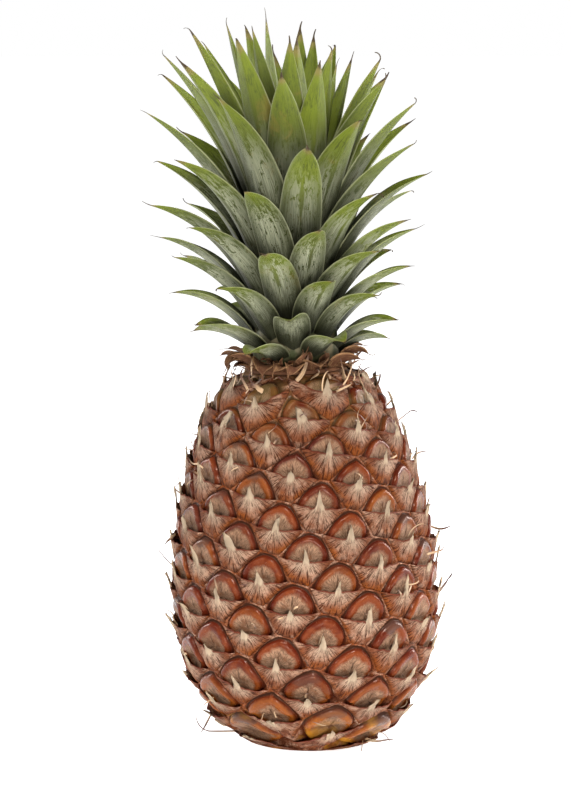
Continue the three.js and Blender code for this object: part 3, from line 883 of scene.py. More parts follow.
class RindMesh:
    """The one closed skin, with a ring of points for each step out from an eye's middle."""

    rings = np.array([0.15, 0.29, 0.41, 0.51, 0.59, 0.66, 0.72, 0.775, 0.83, 0.88, 0.93])

    def __init__(self, steps):
        self.steps = steps
        self.points, self.faces = [], []
        self.values = {"from_middle": [], "in_eye": [], "eye_tint": [], "base": []}
        self.count = 0
        self.corner_points = {}

    def add_points(self, points, from_middle, in_eye, tint, base=0.0):
        first = self.count
        n = len(points)
        self.points.append(points)
        self.values["from_middle"].append(np.broadcast_to(np.asarray(from_middle, dtype=float), n))
        self.values["in_eye"].append(np.broadcast_to(np.asarray(in_eye, dtype=float), (n, 3)))
        self.values["eye_tint"].append(np.full(n, float(tint)))
        self.values["base"].append(np.full(n, float(base)))
        self.count += n
        return list(range(first, first + n))

    def groove_depth(self, s):
        return 0 if s <= 0 or s >= outline.length else CAP_PROFILE[-1]

    def side(self, a, b):
        """Points from corner a up to, but not including, corner b, made once and shared by both eyes."""
        low, high = min(a, b), max(a, b)
        key = (low, high)
        if key not in self.corner_points:
            (turn_a, s_a), (turn_b, s_b) = eyes.corners[low], eyes.corners[high]
            turned = math.atan2(math.sin(turn_b - turn_a), math.cos(turn_b - turn_a))
            share = np.arange(1, self.steps) / self.steps
            s = s_a + (s_b - s_a) * share
            depth = [self.groove_depth(v) for v in s]
            made = self.add_points(outline.skin(turn_a + turned * share, s, depth), 2, (0, 0, 0), 0.5)
            self.corner_points[key] = made
        inner = self.corner_points[key]
        return [self.corner(a), *(inner if a == low else inner[::-1])]

    def corner(self, c):
        if c not in self.corner_points:
            turn, s = eyes.corners[c]
            point = outline.skin([turn], [s], [self.groove_depth(s)])
            self.corner_points[c] = self.add_points(point, 2, (0, 0, 0), 0.5)[0]
        return self.corner_points[c]

    def border(self, ring):
        out = []
        for i, c in enumerate(ring):
            out += self.side(c, ring[(i + 1) % len(ring)])
        return out

    def close(self, outer, inner):
        n = len(outer)
        self.faces += [(outer[i], outer[(i + 1) % n], inner[(i + 1) % n], inner[i]) for i in range(n)]

    def add_eye(self, k):
        local = eyes.local(k)
        n = len(local)
        share = np.arange(self.steps) / self.steps
        sides = [local[i] + (local[(i + 1) % n] - local[i]) * share[:, None] for i in range(n)]
        edge = np.concatenate(sides)
        radius = eyes.radius(k)
        across, up = edge[:, 0] * radius, edge[:, 1]
        angle = np.arctan2(up, across)
        reach = np.hypot(across, up)
        half_wide = CAP_WIDE * (across.max() - across.min()) / 2
        half_tall = CAP_TALL * np.where(up > 0, up.max(), -up.min())
        oval = (np.abs(np.cos(angle)) / half_wide) ** CAP_SQUARE
        oval = oval + (np.abs(np.sin(angle)) / half_tall) ** CAP_SQUARE
        rounded = smooth_ring(np.minimum(oval ** (-1 / CAP_SQUARE), reach * CAP_ROOM), 2)
        tint = chance(k, 21)
        border = self.border(eyes.rings[k])
        swell = spread(k, 22, *CAP_SWELLS)
        sink = spread(k, 23, *CAP_SINKS)
        last = border
        for out in self.rings[::-1]:
            beyond = max(out - CAP_SHARE, 0) / (1 - CAP_SHARE)
            far = between(rounded * min(out / CAP_SHARE, 1), reach, beyond)
            u, v = far * np.cos(angle), far * np.sin(angle)
            h = np.interp(out, CAP_PROFILE_AT, CAP_PROFILE)
            h = h * sink if out < CAP_DENT_SHARE else h
            h = h + swell * (1 - out**4)
            h = h + CAP_THREE_SIDES * (1 - out) * np.sin(3 * angle + CAP_TURN * chance(k, 24))
            h = h - TUCK * smooth_step(-v, *TUCK_HEIGHTS) * smooth_step(1 - out, 0, TUCK_FADE)
            points = outline.skin(eyes.turns[k] + u / radius, eyes.heights[k] + v, h)
            place = np.stack([u / 10, v / 10, np.zeros_like(u)], axis=1)
            ring = self.add_points(points, min(out / CAP_SHARE, 1) + beyond, place, tint)
            self.close(last, ring)
            last = ring
        middle = CAP_PROFILE[0] * sink + swell - TUCK * float(smooth_step(0, *TUCK_HEIGHTS))
        point = outline.skin([eyes.turns[k]], [eyes.heights[k]], [middle])
        centre = self.add_points(point, 0, (0, 0, 0), tint)[0]
        self.faces += [(last[i], last[(i + 1) % len(last)], centre) for i in range(len(last))]

    def add_end(self, ring, levels):
        """Closes an end with rings at each (radius, height, base) and a middle point."""
        border = self.border(ring)
        flat = np.concatenate(self.points)[border]
        height = levels[-1][1]
        centre = lean([(0, 0, height)])[0]
        angle = np.arctan2(flat[:, 1] - centre[1], flat[:, 0] - centre[0])
        last = border
        for radius, z, base in levels:
            level = np.full(len(angle), z)
            points = np.stack([radius * np.cos(angle), radius * np.sin(angle), level], axis=1)
            made = self.add_points(lean(points), 0, points / 10, 0.5, base)
            self.close(last, made)
            last = made
        middle = self.add_points(lean([(0, 0, height)]), 0, (0, 0, 0), 0.5, levels[-1][2])[0]
        self.faces += [(last[i], last[(i + 1) % len(last)], middle) for i in range(len(last))]

    def build(self):
        for k in range(len(eyes.turns)):
            self.add_eye(k)
        outer = STALK_RADIUS + MOAT_WIDTH
        moat = [(outer, 0, 1), (outer, MOAT_DEPTH, 0.5)]
        moat += [(STALK_RADIUS, MOAT_DEPTH, 0.5), (STALK_RADIUS, 0, 1)]
        self.add_end(eyes.rings[eyes.foot], [(BASE_RING, 0, 1), *moat, (STUB_RING, 0, 1)])
        self.add_end(eyes.rings[eyes.neck], [(radius, NECK_HEIGHT, 0.3) for radius in NECK_RINGS])
        values = {key: np.concatenate(parts) for key, parts in self.values.items()}
        return new_mesh_object("rind", np.concatenate(self.points), self.faces, values)


def bract_grid(k, settings):
    """One bract as a grid of places and heights, its spine drawn out of the middle of its edge."""
    local = eyes.local(k)
    radius = eyes.radius(k)
    corner_u, corner_v = local[:, 0] * radius, local[:, 1]
    left, right = int(np.argmin(corner_u)), int(np.argmax(corner_u))
    lower = [left]
    while lower[-1] != right:
        lower.append((lower[-1] + 1) % len(local))
    chain_u, chain_v = corner_u[lower], corner_v[lower]
    gone = np.concatenate([[0], np.cumsum(np.hypot(np.diff(chain_u), np.diff(chain_v)))])
    columns = np.array([*BRACT_COLUMNS, 0, *(-c for c in BRACT_COLUMNS[::-1])])
    low_u = np.interp((columns + 1) / 2 * gone[-1], gone, chain_u)
    low_v = np.interp((columns + 1) / 2 * gone[-1], gone, chain_v)
    # Upper edge: ragged, and dipping between the sides of the eye
    edge_u = np.where(columns < 0, -columns * corner_u[left], columns * corner_u[right]) * BRACT_WIDE
    edge_v = np.where(columns < 0, corner_v[left], corner_v[right]) * np.abs(columns) ** BRACT_EDGE_CURVE
    edge_v = edge_v - BRACT_EDGE_DIP * (1 - columns**2)
    ragged = np.array([spread(k * 31 + i, 41, *BRACT_RAGGED) for i in range(len(columns))])
    edge_v += ragged * (1 - np.abs(columns) ** 6)
    # Spine: short or long, straight or swaying over, and lower where it sways
    kind = chance(k, 47)
    tall = min(settings.spine_length / MM, 0.8 * corner_v.max() + 2.4)
    tall *= spread(k, 42, *(STUB_LENGTHS if kind < STUB_SHARE else SPINE_LENGTHS))
    horn = np.clip(1 - np.abs(columns) / spread(k, 48, *SPINE_HALF_WIDTHS), 0, 1) ** 1.1
    most = BENT_SWAY if kind > BENT_ABOVE else SPINE_SWAY
    sway = spread(k, 43, -most, most) * min(1, (tall / FULL_SWAY_LENGTH) ** 2)
    edge_v += tall * horn
    edge_u += sway * horn**2.4
    edge_v -= 0.12 * abs(sway) * tall * horn**3 * 0.5
    up, across = np.meshgrid(np.array(BRACT_ROWS), columns, indexing="ij")
    u = low_u + (edge_u - low_u) * up
    v = low_v + (edge_v - low_v) * up
    # Height over the skin: a curve from row to row, a lifted edge and spine, a keel and fine folds
    height = np.interp(up, BRACT_HEIGHT_AT, BRACT_HEIGHTS)
    lift = np.array([spread(k * 17 + i, 44, *BRACT_LIFTS) for i in range(len(columns))])
    height += up**4 * lift * (1 - across**4)
    height += SPINE_OUT * spread(k, 45, 0.15, 1.1) * horn[None, :] * up**3
    height += BRACT_KEEL * np.exp(-((across / BRACT_KEEL_WIDE) ** 2)) * smooth_step(up, 0.3, 0.8)
    fan = np.arctan2(u, 2.0 - v + 3.0)
    folds = np.sin(fan * BRACT_FOLDS + 9 * chance(k, 46)) * np.sin(np.pi * np.clip(up, 0, 1)) ** 0.5
    height += BRACT_FOLD_HEIGHT * folds
    height -= BRACT_CORNER_DROP * np.abs(across) ** 5 * up
    spine = horn[None, :] * smooth_step(up, 0.55, 1.0)
    return u, v, height, up, spine


def bracts_object(settings):
    """All bracts: thin closed shells that lie over the lower half of each eye."""
    points, faces = [], []
    values = {"in_eye": [], "up": [], "spine": [], "eye_tint": []}
    count = 0
    thick = settings.thickness / MM
    for k in range(len(eyes.turns)):
        u, v, height, up, spine = bract_grid(k, settings)
        rows, columns = u.shape
        radius = eyes.radius(k)
        thin = thick * (1 - 0.5 * up)
        turn = eyes.turns[k] + u.ravel() / radius
        s = eyes.heights[k] + v.ravel()
        for h in (height, height - thin):
            points.append(outline.skin(turn, s, h.ravel()))
            values["in_eye"].append(np.stack([u.ravel() / 10, v.ravel() / 10, h.ravel() / 10], axis=1))
            values["up"].append(up.ravel())
            values["spine"].append(spine.ravel())
            values["eye_tint"].append(np.full(u.size, chance(k, 21)))
        top = count + np.arange(rows * columns).reshape(rows, columns)
        under = top + rows * columns
        for i in range(rows - 1):
            for j in range(columns - 1):
                faces.append((top[i, j], top[i, j + 1], top[i + 1, j + 1], top[i + 1, j]))
                faces.append((under[i, j], under[i + 1, j], under[i + 1, j + 1], under[i, j + 1]))
        loop = [(0, j) for j in range(columns)] + [(i, columns - 1) for i in range(1, rows)]
        loop += [(rows - 1, j) for j in range(columns - 2, -1, -1)]
        loop += [(i, 0) for i in range(rows - 2, 0, -1)]
        for m, (i, j) in enumerate(loop):
            i2, j2 = loop[(m + 1) % len(loop)]
            faces.append((top[i, j], under[i, j], under[i2, j2], top[i2, j2]))
        count += 2 * rows * columns
    values = {key: np.concatenate(parts) for key, parts in values.items()}
    return new_mesh_object("bracts", np.concatenate(points), faces, values)


# Swept blades

SWEEP_SOCKETS = [
    ("Paths", "INPUT", "NodeSocketGeometry"),
    ("Profile", "INPUT", "NodeSocketObject"),
    ("Width", "INPUT", "NodeSocketFloat"),
    ("Material", "INPUT", "NodeSocketMaterial"),
    ("Blades", "OUTPUT", "NodeSocketGeometry"),
]
SWEEP_NODES = {
    "group in": "NodeGroupInput",
    "profile": "GeometryNodeObjectInfo",
    "rim": "GeometryNodeMeshToCurve",
    "paths": "GeometryNodeMeshToCurve",
    "normals": "GeometryNodeSetCurveNormal",
    "facing": "GeometryNodeInputNamedAttribute",
    "half width": "GeometryNodeInputNamedAttribute",
    "width": "ShaderNodeMath",
    "sweep": "GeometryNodeCurveToMesh",
    "smooth": "GeometryNodeSetShadeSmooth",
    "real": "GeometryNodeRealizeInstances",
    "paint": "GeometryNodeSetMaterial",
    "group out": "NodeGroupOutput",
}
SWEEP_LINKS = [
    ("group in", "Paths", "paths", "Mesh"),
    ("paths", "Curve", "normals", "Curve"),
    ("facing", "Attribute", "normals", "Normal"),
    ("group in", "Profile", "profile", "Object"),
    ("profile", "Geometry", "rim", "Mesh"),
    ("normals", "Curve", "sweep", "Curve"),
    ("rim", "Curve", "sweep", "Profile Curve"),
    ("half width", "Attribute", "width", 0),
    ("group in", "Width", "width", 1),
    ("width", 0, "sweep", "Scale"),
    ("sweep", "Mesh", "smooth", "Geometry"),
    ("smooth", "Geometry", "real", "Geometry"),
    ("real", "Geometry", "paint", "Geometry"),
    ("group in", "Material", "paint", "Material"),
    ("paint", "Geometry", "group out", "Blades"),
]


def sweep_tree():
    """Sweeps a profile along every path of a mesh of edges, as wide as each point says."""
    tree = bpy.data.node_groups.new("swept blades", "GeometryNodeTree")
    for name, way, kind in SWEEP_SOCKETS:
        tree.interface.new_socket(name, in_out=way, socket_type=kind)
    nodes = {name: tree.nodes.new(kind) for name, kind in SWEEP_NODES.items()}
    nodes["normals"].mode = "FREE"
    nodes["facing"].data_type = "FLOAT_VECTOR"
    nodes["facing"].inputs["Name"].default_value = "facing"
    nodes["half width"].inputs["Name"].default_value = "half_width"
    nodes["width"].operation = "MULTIPLY"
    nodes["sweep"].inputs["Fill Caps"].default_value = True
    for start, out, end, into in SWEEP_LINKS:
        tree.links.new(nodes[start].outputs[out], nodes[end].inputs[into])
    return tree


def profile_object(name, loop):
    """A closed loop one unit wide each way, its height along X, which a sweep turns to face."""
    points = np.array([(y, -x, 0) for x, y in loop], dtype=float)
    mesh = bpy.data.meshes.new(name)
    n = len(points)
    mesh.from_pydata(points.tolist(), [(i, (i + 1) % n) for i in range(n)], [])
    set_values(mesh, "across", -points[:, 1])
    return new_object(name, mesh)


class Paths:
    """Paths for blades: each a row of points with its half width and the way its upper face looks."""

    def __init__(self):
        self.points, self.edges = [], []
        self.values = {"facing": [], "half_width": [], "along": [], "tint": [], "bloom": []}
        self.count = 0

    def add(self, points, facing, half_width, along, tint, bloom=1.0):
        n = len(points)
        self.points.append(points)
        self.edges += [(self.count + i, self.count + i + 1) for i in range(n - 1)]
        self.values["facing"].append(facing)
        self.values["half_width"].append(half_width * MM)
        self.values["along"].append(along)
        self.values["tint"].append(np.full(n, tint))
        self.values["bloom"].append(np.full(n, bloom))
        self.count += n

    def sweep(self, name, profile, material):
        """The swept blades as one plain mesh object at the origin."""
        mesh = bpy.data.meshes.new(name + " paths")
        mesh.from_pydata((np.concatenate(self.points) * MM).tolist(), self.edges, [])
        for key, parts in self.values.items():
            set_values(mesh, key, np.concatenate(parts))
        paths = new_object(name + " paths", mesh)
        tree = sweep_tree()
        modifier = paths.modifiers.new("sweep", "NODES")
        modifier.node_group = tree
        sockets = {s.name: s.identifier for s in tree.interface.items_tree if s.in_out == "INPUT"}
        modifier[sockets["Profile"]] = profile
        modifier[sockets["Width"]] = 1.0
        modifier[sockets["Material"]] = material
        bpy.context.view_layer.update()
        evaluated = paths.evaluated_get(bpy.context.evaluated_depsgraph_get())
        made = bpy.data.meshes.new_from_object(evaluated)
        made.name = name
        obj = new_object(name, made)
        bpy.data.objects.remove(paths)
        bpy.data.objects.remove(profile)
        return obj


def blade_path(turn, radius, height, length, angles, steps, sway, twist):
    """The middle line of a blade that bends in its own upright plane, with the way its upper face looks."""
    out = Vector((math.sin(turn), -math.cos(turn), 0))
    side = Vector((-math.cos(turn), -math.sin(turn), 0))
    up = Vector((0, 0, 1))
    p = out * radius + up * height
    points, facing = [], []
    for i in range(steps + 1):
        t = i / steps
        bend = t * t * (1 + BLADE_BEND - BLADE_BEND * t)
        slope = math.radians(between(angles[0], angles[1], bend))
        ahead = out * math.cos(slope) + up * math.sin(slope)
        above = up * math.cos(slope) - out * math.sin(slope)
        if i:
            p = p + ahead * (length / steps)
        points.append(p + side * (sway * t * t))
        facing.append(Matrix.Rotation(twist * t * t, 3, ahead) @ above)
    return points, facing


def curl_on(points, facing, length, steps, turned, across):
    """Carries a path on by length in a curl that turns by an angle, across its face or, at 1, sideways."""
    ahead = (points[-1] - points[-2]).normalized()
    above = facing[-1]
    axis = above.cross(ahead).normalized() * (1 - across) + above * across
    swing = Matrix.Rotation(turned / steps, 3, axis.normalized())
    for _ in range(steps):
        ahead = swing @ ahead
        above = swing @ above
        points.append(points[-1] + ahead * (length / steps))
        facing.append(above)


def blade_widths(width, steps):
    t = np.linspace(0, 1, steps + 1)
    shape = np.interp(t, np.linspace(0, 1, len(BLADE_SHAPE)), BLADE_SHAPE)
    shape = np.convolve(np.pad(shape, len(BLADE_SOFTENING) // 2, mode="edge"), BLADE_SOFTENING, mode="valid")
    shape[-1] = BLADE_SHAPE[-1]
    return width / 2 * shape


def lathe(name, profile, sides):
    """A closed round solid about the fruit's leaned axis, from (radius, height) pairs, bottom to top."""
    angle = np.arange(sides) / sides * 2 * math.pi
    rings = [np.stack([r * np.cos(angle), r * np.sin(angle), np.full(sides, z)], axis=1) for r, z in profile]
    ends = [[(0, 0, profile[0][1])], [(0, 0, profile[-1][1])]]
    faces = []
    for i in range(len(profile) - 1):
        a, b = i * sides, (i + 1) * sides
        faces += [(a + j, a + (j + 1) % sides, b + (j + 1) % sides, b + j) for j in range(sides)]
    low, high = len(profile) * sides, len(profile) * sides + 1
    last = (len(profile) - 1) * sides
    faces += [(low, (j + 1) % sides, j) for j in range(sides)]
    faces += [(high, last + j, last + (j + 1) % sides) for j in range(sides)]
    return new_mesh_object(name, lean(np.concatenate([*rings, *ends])), faces)


def ribbon_profile():
    """A thin flat section, a little cupped."""
    upper = [(-1, 0.35), (-0.5, 0.12), (0, 0.0), (0.5, 0.12), (1, 0.35)]
    under = [(x, y - 0.3) for x, y in upper[::-1]]
    return profile_object("ribbon section", upper + under)


def leaf_profile():
    """A channelled leaf's section, from one thin margin to the other and back under its keel."""
    x = np.linspace(-1, 1, 11)
    upper = [(v, LEAF_CHANNEL * abs(v) ** LEAF_CHANNEL_CURVE) for v in x]
    under = [(v, depth - LEAF_MARGIN - LEAF_KEEL * (1 - abs(v))) for v, depth in upper[::-1]]
    return profile_object("leaf section", upper + under)


# Operators

class PINEAPPLE_OT_rind(bpy.types.Operator):
    """Makes the skin of the fruit with every eye's cap"""

    bl_idname = "pineapple.rind"
    bl_label = "Rind"

    def execute(self, context):
        settings = context.scene.pineapple_fruit
        rind = RindMesh(settings.edge_steps).build()
        rind.data.materials.append(rind_material(settings, context.scene.pineapple_bracts))
        declare(rind, "fruit")
        return {"FINISHED"}


class PINEAPPLE_OT_bracts(bpy.types.Operator):
    """Makes the papery bract with its spine on every eye"""

    bl_idname = "pineapple.bracts"
    bl_label = "Bracts"

    def execute(self, context):
        settings = context.scene.pineapple_bracts
        bracts = bracts_object(settings)
        bracts.data.materials.append(bract_material(settings))
        declare(bracts, "fruit")
        return {"FINISHED"}


class PINEAPPLE_OT_curls(bpy.types.Operator):
    """Makes the loose dry curls that stand off the bracts"""

    bl_idname = "pineapple.curls"
    bl_label = "Dry curls"

    def execute(self, context):
        settings = context.scene.pineapple_curls
        paths = Paths()
        for k in range(settings.count):
            eye = int(chance(k, 61) * len(eyes.turns))
            turn = eyes.turns[eye] + either_way(k, 62, CURL_ASIDE)
            s = eyes.heights[eye] + spread(k, 63, *CURL_RISES)
            reach = settings.reach / MM * spread(k, 64, *CURL_LENGTHS) ** CURL_MOSTLY_SHORT
            self.add_curl(paths, k, turn, s, reach, spread(k, 65, *CURL_HALF_WIDTHS))
        for k in range(FIRST_SHRED, FIRST_SHRED + settings.shoulder_count):
            turn = spread(k, 61, 0, 2 * math.pi)
            s = outline.length - spread(k, 63, *SHRED_DROPS)
            reach = settings.reach / MM * spread(k, 64, *SHRED_LENGTHS)
            self.add_curl(paths, k, turn, s, reach, spread(k, 65, *SHRED_HALF_WIDTHS))
        for turn, height, reach, half_width, draw in LONG_CURLS:
            s = float(np.interp(height, outline.z, outline.s))
            self.add_curl(paths, draw, math.radians(turn), s, reach, half_width)
        curls = paths.sweep("dry_curls", ribbon_profile(), curl_material(settings))
        declare(curls, "fruit")
        return {"FINISHED"}

    def add_curl(self, paths, k, turn, s, reach, half_width):
        root, outside = (Vector(outline.skin([turn], [s], [h])[0]) for h in CURL_ROOT_HEIGHTS)
        normal = (outside - root).normalized()
        side = Vector((math.cos(turn), math.sin(turn), 0))
        upward = normal.cross(side)
        if upward.z < 0:
            upward.negate()
        ahead = normal * spread(k, 67, *CURL_LEAN_OUT) + upward * spread(k, 68, *CURL_LEAN_UP)
        ahead += side * either_way(k, 66, CURL_LEAN_ASIDE)
        ahead.normalize()
        points = [root, root + ahead * (reach * CURL_ROOT_SHARE)]
        facing = [normal, normal]
        for salt, (share, steps, most) in ((69, CURL_ARCH), (71, CURL_END)):
            curl_on(points, facing, reach * share, steps, either_way(k, salt, most), chance(k, salt + 1))
        place = np.array(points)
        place[:, 0] = np.clip(place[:, 0], *CURL_ROOM[0])
        place[:, 1] = np.clip(place[:, 1], *CURL_ROOM[1])
        place[:, 2] = np.maximum(place[:, 2], CURL_FLOOR)
        t = np.linspace(0, 1, len(points))
        widths = half_width * np.interp(t, CURL_WIDTHS_AT, CURL_WIDTHS)
        paths.add(place, np.array(facing), widths, t, chance(k, 73))


class PINEAPPLE_OT_crown(bpy.types.Operator):
    """Makes the leaves of the crown along their paths, and the stem that they grow from"""

    bl_idname = "pineapple.crown"
    bl_label = "Crown"

    def execute(self, context):
        settings = context.scene.pineapple_crown
        paths = Paths()
        for k in range(LEAVES):
            self.add_leaf(paths, k, settings)
        leaves = paths.sweep("crown_leaves", leaf_profile(), leaf_material(settings))
        declare(leaves, "crown")
        bottom = NECK_HEIGHT + COLLAR_THICKNESS + 2 * CLEARANCE
        top = NECK_HEIGHT + STEM_HEIGHT
        profile = list(zip(STEM_RADII, np.linspace(bottom, top, len(STEM_RADII))))
        stem = lathe("crown_stem", profile, STEM_SIDES)
        stem.data.materials.append(stem_material(settings))
        declare(stem, "crown")
        return {"FINISHED"}

    def add_leaf(self, paths, k, settings):
        share = k / (LEAVES - 1)
        root = LEAF_ROOT_LOW + LEAF_ROOT_RISE * share**LEAF_CROWDING
        turn = math.radians(LEAF_TURN + LEAF_DIVERGENCE * k + either_way(k, 11, LEAF_TURN_SWAY))
        growth = (1 - LEFT_GROWTH * math.sin(turn)) * spread(k, 12, *LEAF_SIZES)
        angles = (
            along(ROOT_ANGLES, share) + either_way(k, 14, ROOT_ANGLE_SWAY),
            along(TIP_ANGLES, share) + either_way(k, 15, TIP_ANGLE_SWAY),
        )
        points, facing = blade_path(
            turn,
            max(along(STEM_RADII, root / STEM_HEIGHT) - ROOT_SINK, 1),
            NECK_HEIGHT + root,
            ROOT_SINK + along(LEAF_LENGTHS, share) * growth,
            angles,
            settings.steps,
            either_way(k, 16, LEAF_SWAY) * share,
            either_way(k, 19, LEAF_TWIST),
        )
        width = along(LEAF_WIDTHS, share) * spread(k, 13, *LEAF_SIZES)
        widths = blade_widths(width, settings.steps)
        t = np.linspace(0, 1, settings.steps + 1)
        hook = settings.hook_length / MM * spread(k, 20, *HOOK_LENGTHS)
        curl_on(points, facing, hook, HOOK_STEPS, spread(k, 25, *HOOK_TURNS), spread(k, 26, *HOOK_ASIDE))
        narrowing = np.linspace(widths[-1] * HOOK_WIDTHS[0], HOOK_WIDTHS[1], HOOK_STEPS)
        widths = np.concatenate([widths, narrowing])
        t = np.concatenate([t, np.linspace(*HOOK_ALONG, HOOK_STEPS)])
        bloom = spread(k, 18, *LEAF_BLOOMS) * (1 - BLOOM_LOSS * share**BLOOM_FADE)
        paths.add(lean(points), np.array(facing), widths, t, chance(k, 17), bloom)


class PINEAPPLE_OT_collar(bpy.types.Operator):
    """Makes the ring between the fruit and the crown with its curled dry bracts and shreds"""

    bl_idname = "pineapple.collar"
    bl_label = "Dry collar"

    def execute(self, context):
        settings = context.scene.pineapple_collar
        paths = Paths()
        bottom = NECK_HEIGHT + CLEARANCE
        for k in range(COLLAR_BRACTS):
            angles = (spread(k, 4, *COLLAR_ROOT_ANGLES), spread(k, 5, *COLLAR_TIP_ANGLES))
            reach = COLLAR_BRACT_LENGTH * spread(k, 2, *COLLAR_BRACT_LENGTHS)
            width = COLLAR_BRACT_WIDTH * spread(k, 3, *COLLAR_BRACT_WIDTHS)
            shape = (COLLAR_BRACT_ROOT, bottom + COLLAR_BRACT_RISE, reach, width)
            self.add_bract(paths, k, shape, angles, either_way(k, 6, COLLAR_SWAY), settings.steps)
        for k in range(COLLAR_BRACTS, COLLAR_BRACTS + settings.shreds):
            place = (spread(k, 51, *SHRED_RADII), bottom + spread(k, 52, *SHRED_RISES))
            size = (spread(k, 53, *SHRED_REACHES), spread(k, 54, *SHRED_WIDTHS))
            angles = (spread(k, 55, *SHRED_ROOT_ANGLES), spread(k, 56, *SHRED_TIP_ANGLES))
            self.add_bract(paths, k, place + size, angles, either_way(k, 57, COLLAR_SWAY), settings.steps)
        collar = paths.sweep("collar_bracts", leaf_profile(), collar_material(settings))
        declare(collar, "dry_collar")
        top = bottom + COLLAR_THICKNESS
        inner = COLLAR_RADIUS - COLLAR_EDGE
        side = [(COLLAR_RADIUS, bottom + COLLAR_EDGE), (COLLAR_RADIUS, top - COLLAR_EDGE)]
        ring = lathe("collar_ring", [(inner, bottom), *side, (inner, top)], COLLAR_SIDES)
        ring.data.materials.append(collar.data.materials[0])
        declare(ring, "dry_collar")
        return {"FINISHED"}

    def add_bract(self, paths, k, shape, angles, sway, steps):
        radius, height, reach, width = shape
        turn = math.radians(k * DIVERGENCE)
        twist = either_way(k, 8, COLLAR_TWIST)
        points, facing = blade_path(turn, radius, height, reach, angles, steps, sway, twist)
        tip = reach * COLLAR_TIP_SHARE
        turned = either_way(k, 9, COLLAR_TIP_TURN)
        curl_on(points, facing, tip, COLLAR_TIP_STEPS, turned, spread(k, 10, *COLLAR_TIP_ASIDE))
        widths = blade_widths(width, steps)
        widths = np.concatenate([widths, np.linspace(widths[-1], COLLAR_TIP_WIDTH, COLLAR_TIP_STEPS)])
        t = np.linspace(0, 1, len(points))
        paths.add(lean(points), np.array(facing), widths, t, chance(k, 7))


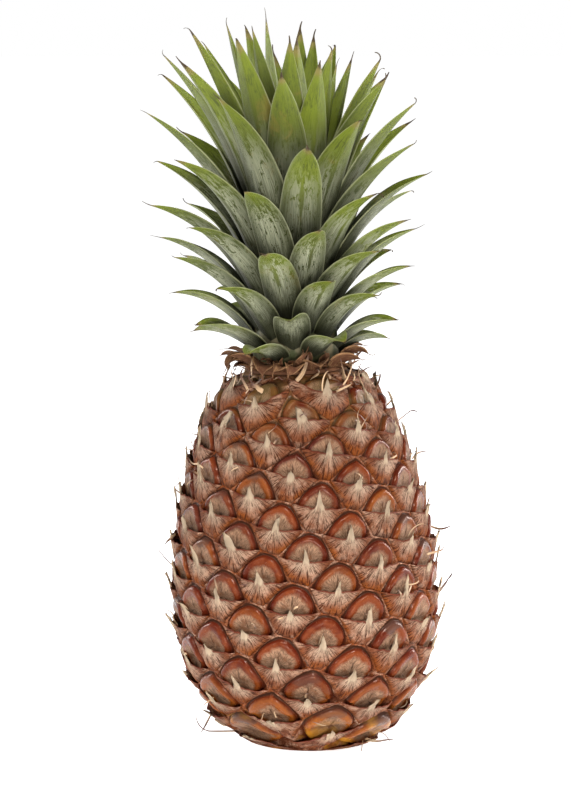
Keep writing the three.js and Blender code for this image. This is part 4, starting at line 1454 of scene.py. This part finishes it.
class PINEAPPLE_OT_stage(bpy.types.Operator):
    """Makes the plain floor, the soft lights and the camera"""

    bl_idname = "pineapple.stage"
    bl_label = "Stage"

    def execute(self, context):
        settings = context.scene.pineapple_stage
        scene = context.scene
        corners = [(-FLOOR_REACH, -FLOOR_REACH, 0), (FLOOR_REACH, -FLOOR_REACH, 0)]
        corners += [(FLOOR_REACH, FLOOR_REACH, 0), (-FLOOR_REACH, FLOOR_REACH, 0)]
        floor = new_mesh_object("floor", corners, [(0, 1, 2, 3)])
        m = Shades("floor")
        seen = m.add("ShaderNodeLightPath").outputs["Is Camera Ray"]
        glow = m.plus(m.times(seen, FLOOR_SEEN_GLOW), FLOOR_GLOW)
        plain = m.finish(tuple(settings.floor), 0.9, Emission_Color=(1, 1, 1), Emission_Strength=glow)
        floor.data.materials.append(plain)
        world = bpy.data.worlds.new("studio")
        world.use_nodes = True
        rays = world.node_tree.nodes.new("ShaderNodeLightPath")
        dome = world.node_tree.nodes["Background"]
        dome.inputs["Color"].default_value = (1, 1, 1, 1)
        bright = world.node_tree.nodes.new("ShaderNodeMapRange")
        bright.inputs["To Min"].default_value = SKY_LIGHT
        bright.inputs["To Max"].default_value = SKY_SEEN
        world.node_tree.links.new(rays.outputs["Is Camera Ray"], bright.inputs["Value"])
        world.node_tree.links.new(bright.outputs["Result"], dome.inputs["Strength"])
        scene.world = world
        scene.view_settings.view_transform = "Standard"
        for light in LIGHTS:
            self.add_light(*light)
        self.add_camera(scene, settings)
        return {"FINISHED"}

    def add_light(self, name, place, size, power):
        data = bpy.data.lights.new(name, "AREA")
        data.shape = "DISK"
        data.size = size
        data.energy = power
        light = new_object(name, data)
        light.location = place
        light.rotation_euler = (Vector(LIT_POINT) - Vector(place)).to_track_quat("-Z", "Y").to_euler()

    def add_camera(self, scene, settings):
        data = bpy.data.cameras.new("camera")
        data.sensor_fit = "VERTICAL"
        data.sensor_height = SENSOR_HEIGHT
        data.lens = SENSOR_HEIGHT * settings.camera_distance / settings.view_height
        camera = new_object("camera", data)
        target = Vector(VIEW_POINT)
        back = Vector((0, -math.cos(settings.camera_height), math.sin(settings.camera_height)))
        camera.location = target + back * settings.camera_distance
        camera.rotation_euler = (-back).to_track_quat("-Z", "Y").to_euler()
        scene.camera = camera


class PINEAPPLE_PT_panel(bpy.types.Panel):
    bl_idname = "PINEAPPLE_PT_panel"
    bl_label = "Pineapple"
    bl_space_type = "VIEW_3D"
    bl_region_type = "UI"
    bl_category = "Pineapple"

    def draw(self, context):
        for key, operator in STEPS:
            box = self.layout.box()
            settings = getattr(context.scene, key)
            for name in settings.__annotations__:
                box.prop(settings, name)
            box.operator(operator)


SETTINGS = {
    "pineapple_fruit": PineappleFruitSettings,
    "pineapple_bracts": PineappleBractSettings,
    "pineapple_curls": PineappleCurlSettings,
    "pineapple_crown": PineappleCrownSettings,
    "pineapple_collar": PineappleCollarSettings,
    "pineapple_stage": PineappleStageSettings,
}
STEPS = [
    ("pineapple_fruit", "pineapple.rind"),
    ("pineapple_bracts", "pineapple.bracts"),
    ("pineapple_curls", "pineapple.curls"),
    ("pineapple_crown", "pineapple.crown"),
    ("pineapple_collar", "pineapple.collar"),
    ("pineapple_stage", "pineapple.stage"),
]
CLASSES = [
    *SETTINGS.values(),
    PINEAPPLE_OT_rind,
    PINEAPPLE_OT_bracts,
    PINEAPPLE_OT_curls,
    PINEAPPLE_OT_crown,
    PINEAPPLE_OT_collar,
    PINEAPPLE_OT_stage,
    PINEAPPLE_PT_panel,
]


def register():
    for cls in CLASSES:
        bpy.utils.register_class(cls)
    for key, cls in SETTINGS.items():
        setattr(bpy.types.Scene, key, PointerProperty(type=cls))


def unregister():
    for key in SETTINGS:
        delattr(bpy.types.Scene, key)
    for cls in reversed(CLASSES):
        bpy.utils.unregister_class(cls)


def main():
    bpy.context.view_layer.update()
    register()
    bpy.ops.pineapple.rind()
    bpy.ops.pineapple.bracts()
    bpy.ops.pineapple.curls()
    bpy.ops.pineapple.crown()
    bpy.ops.pineapple.collar()
    bpy.ops.pineapple.stage()


if __name__ == "__main__":
    main()
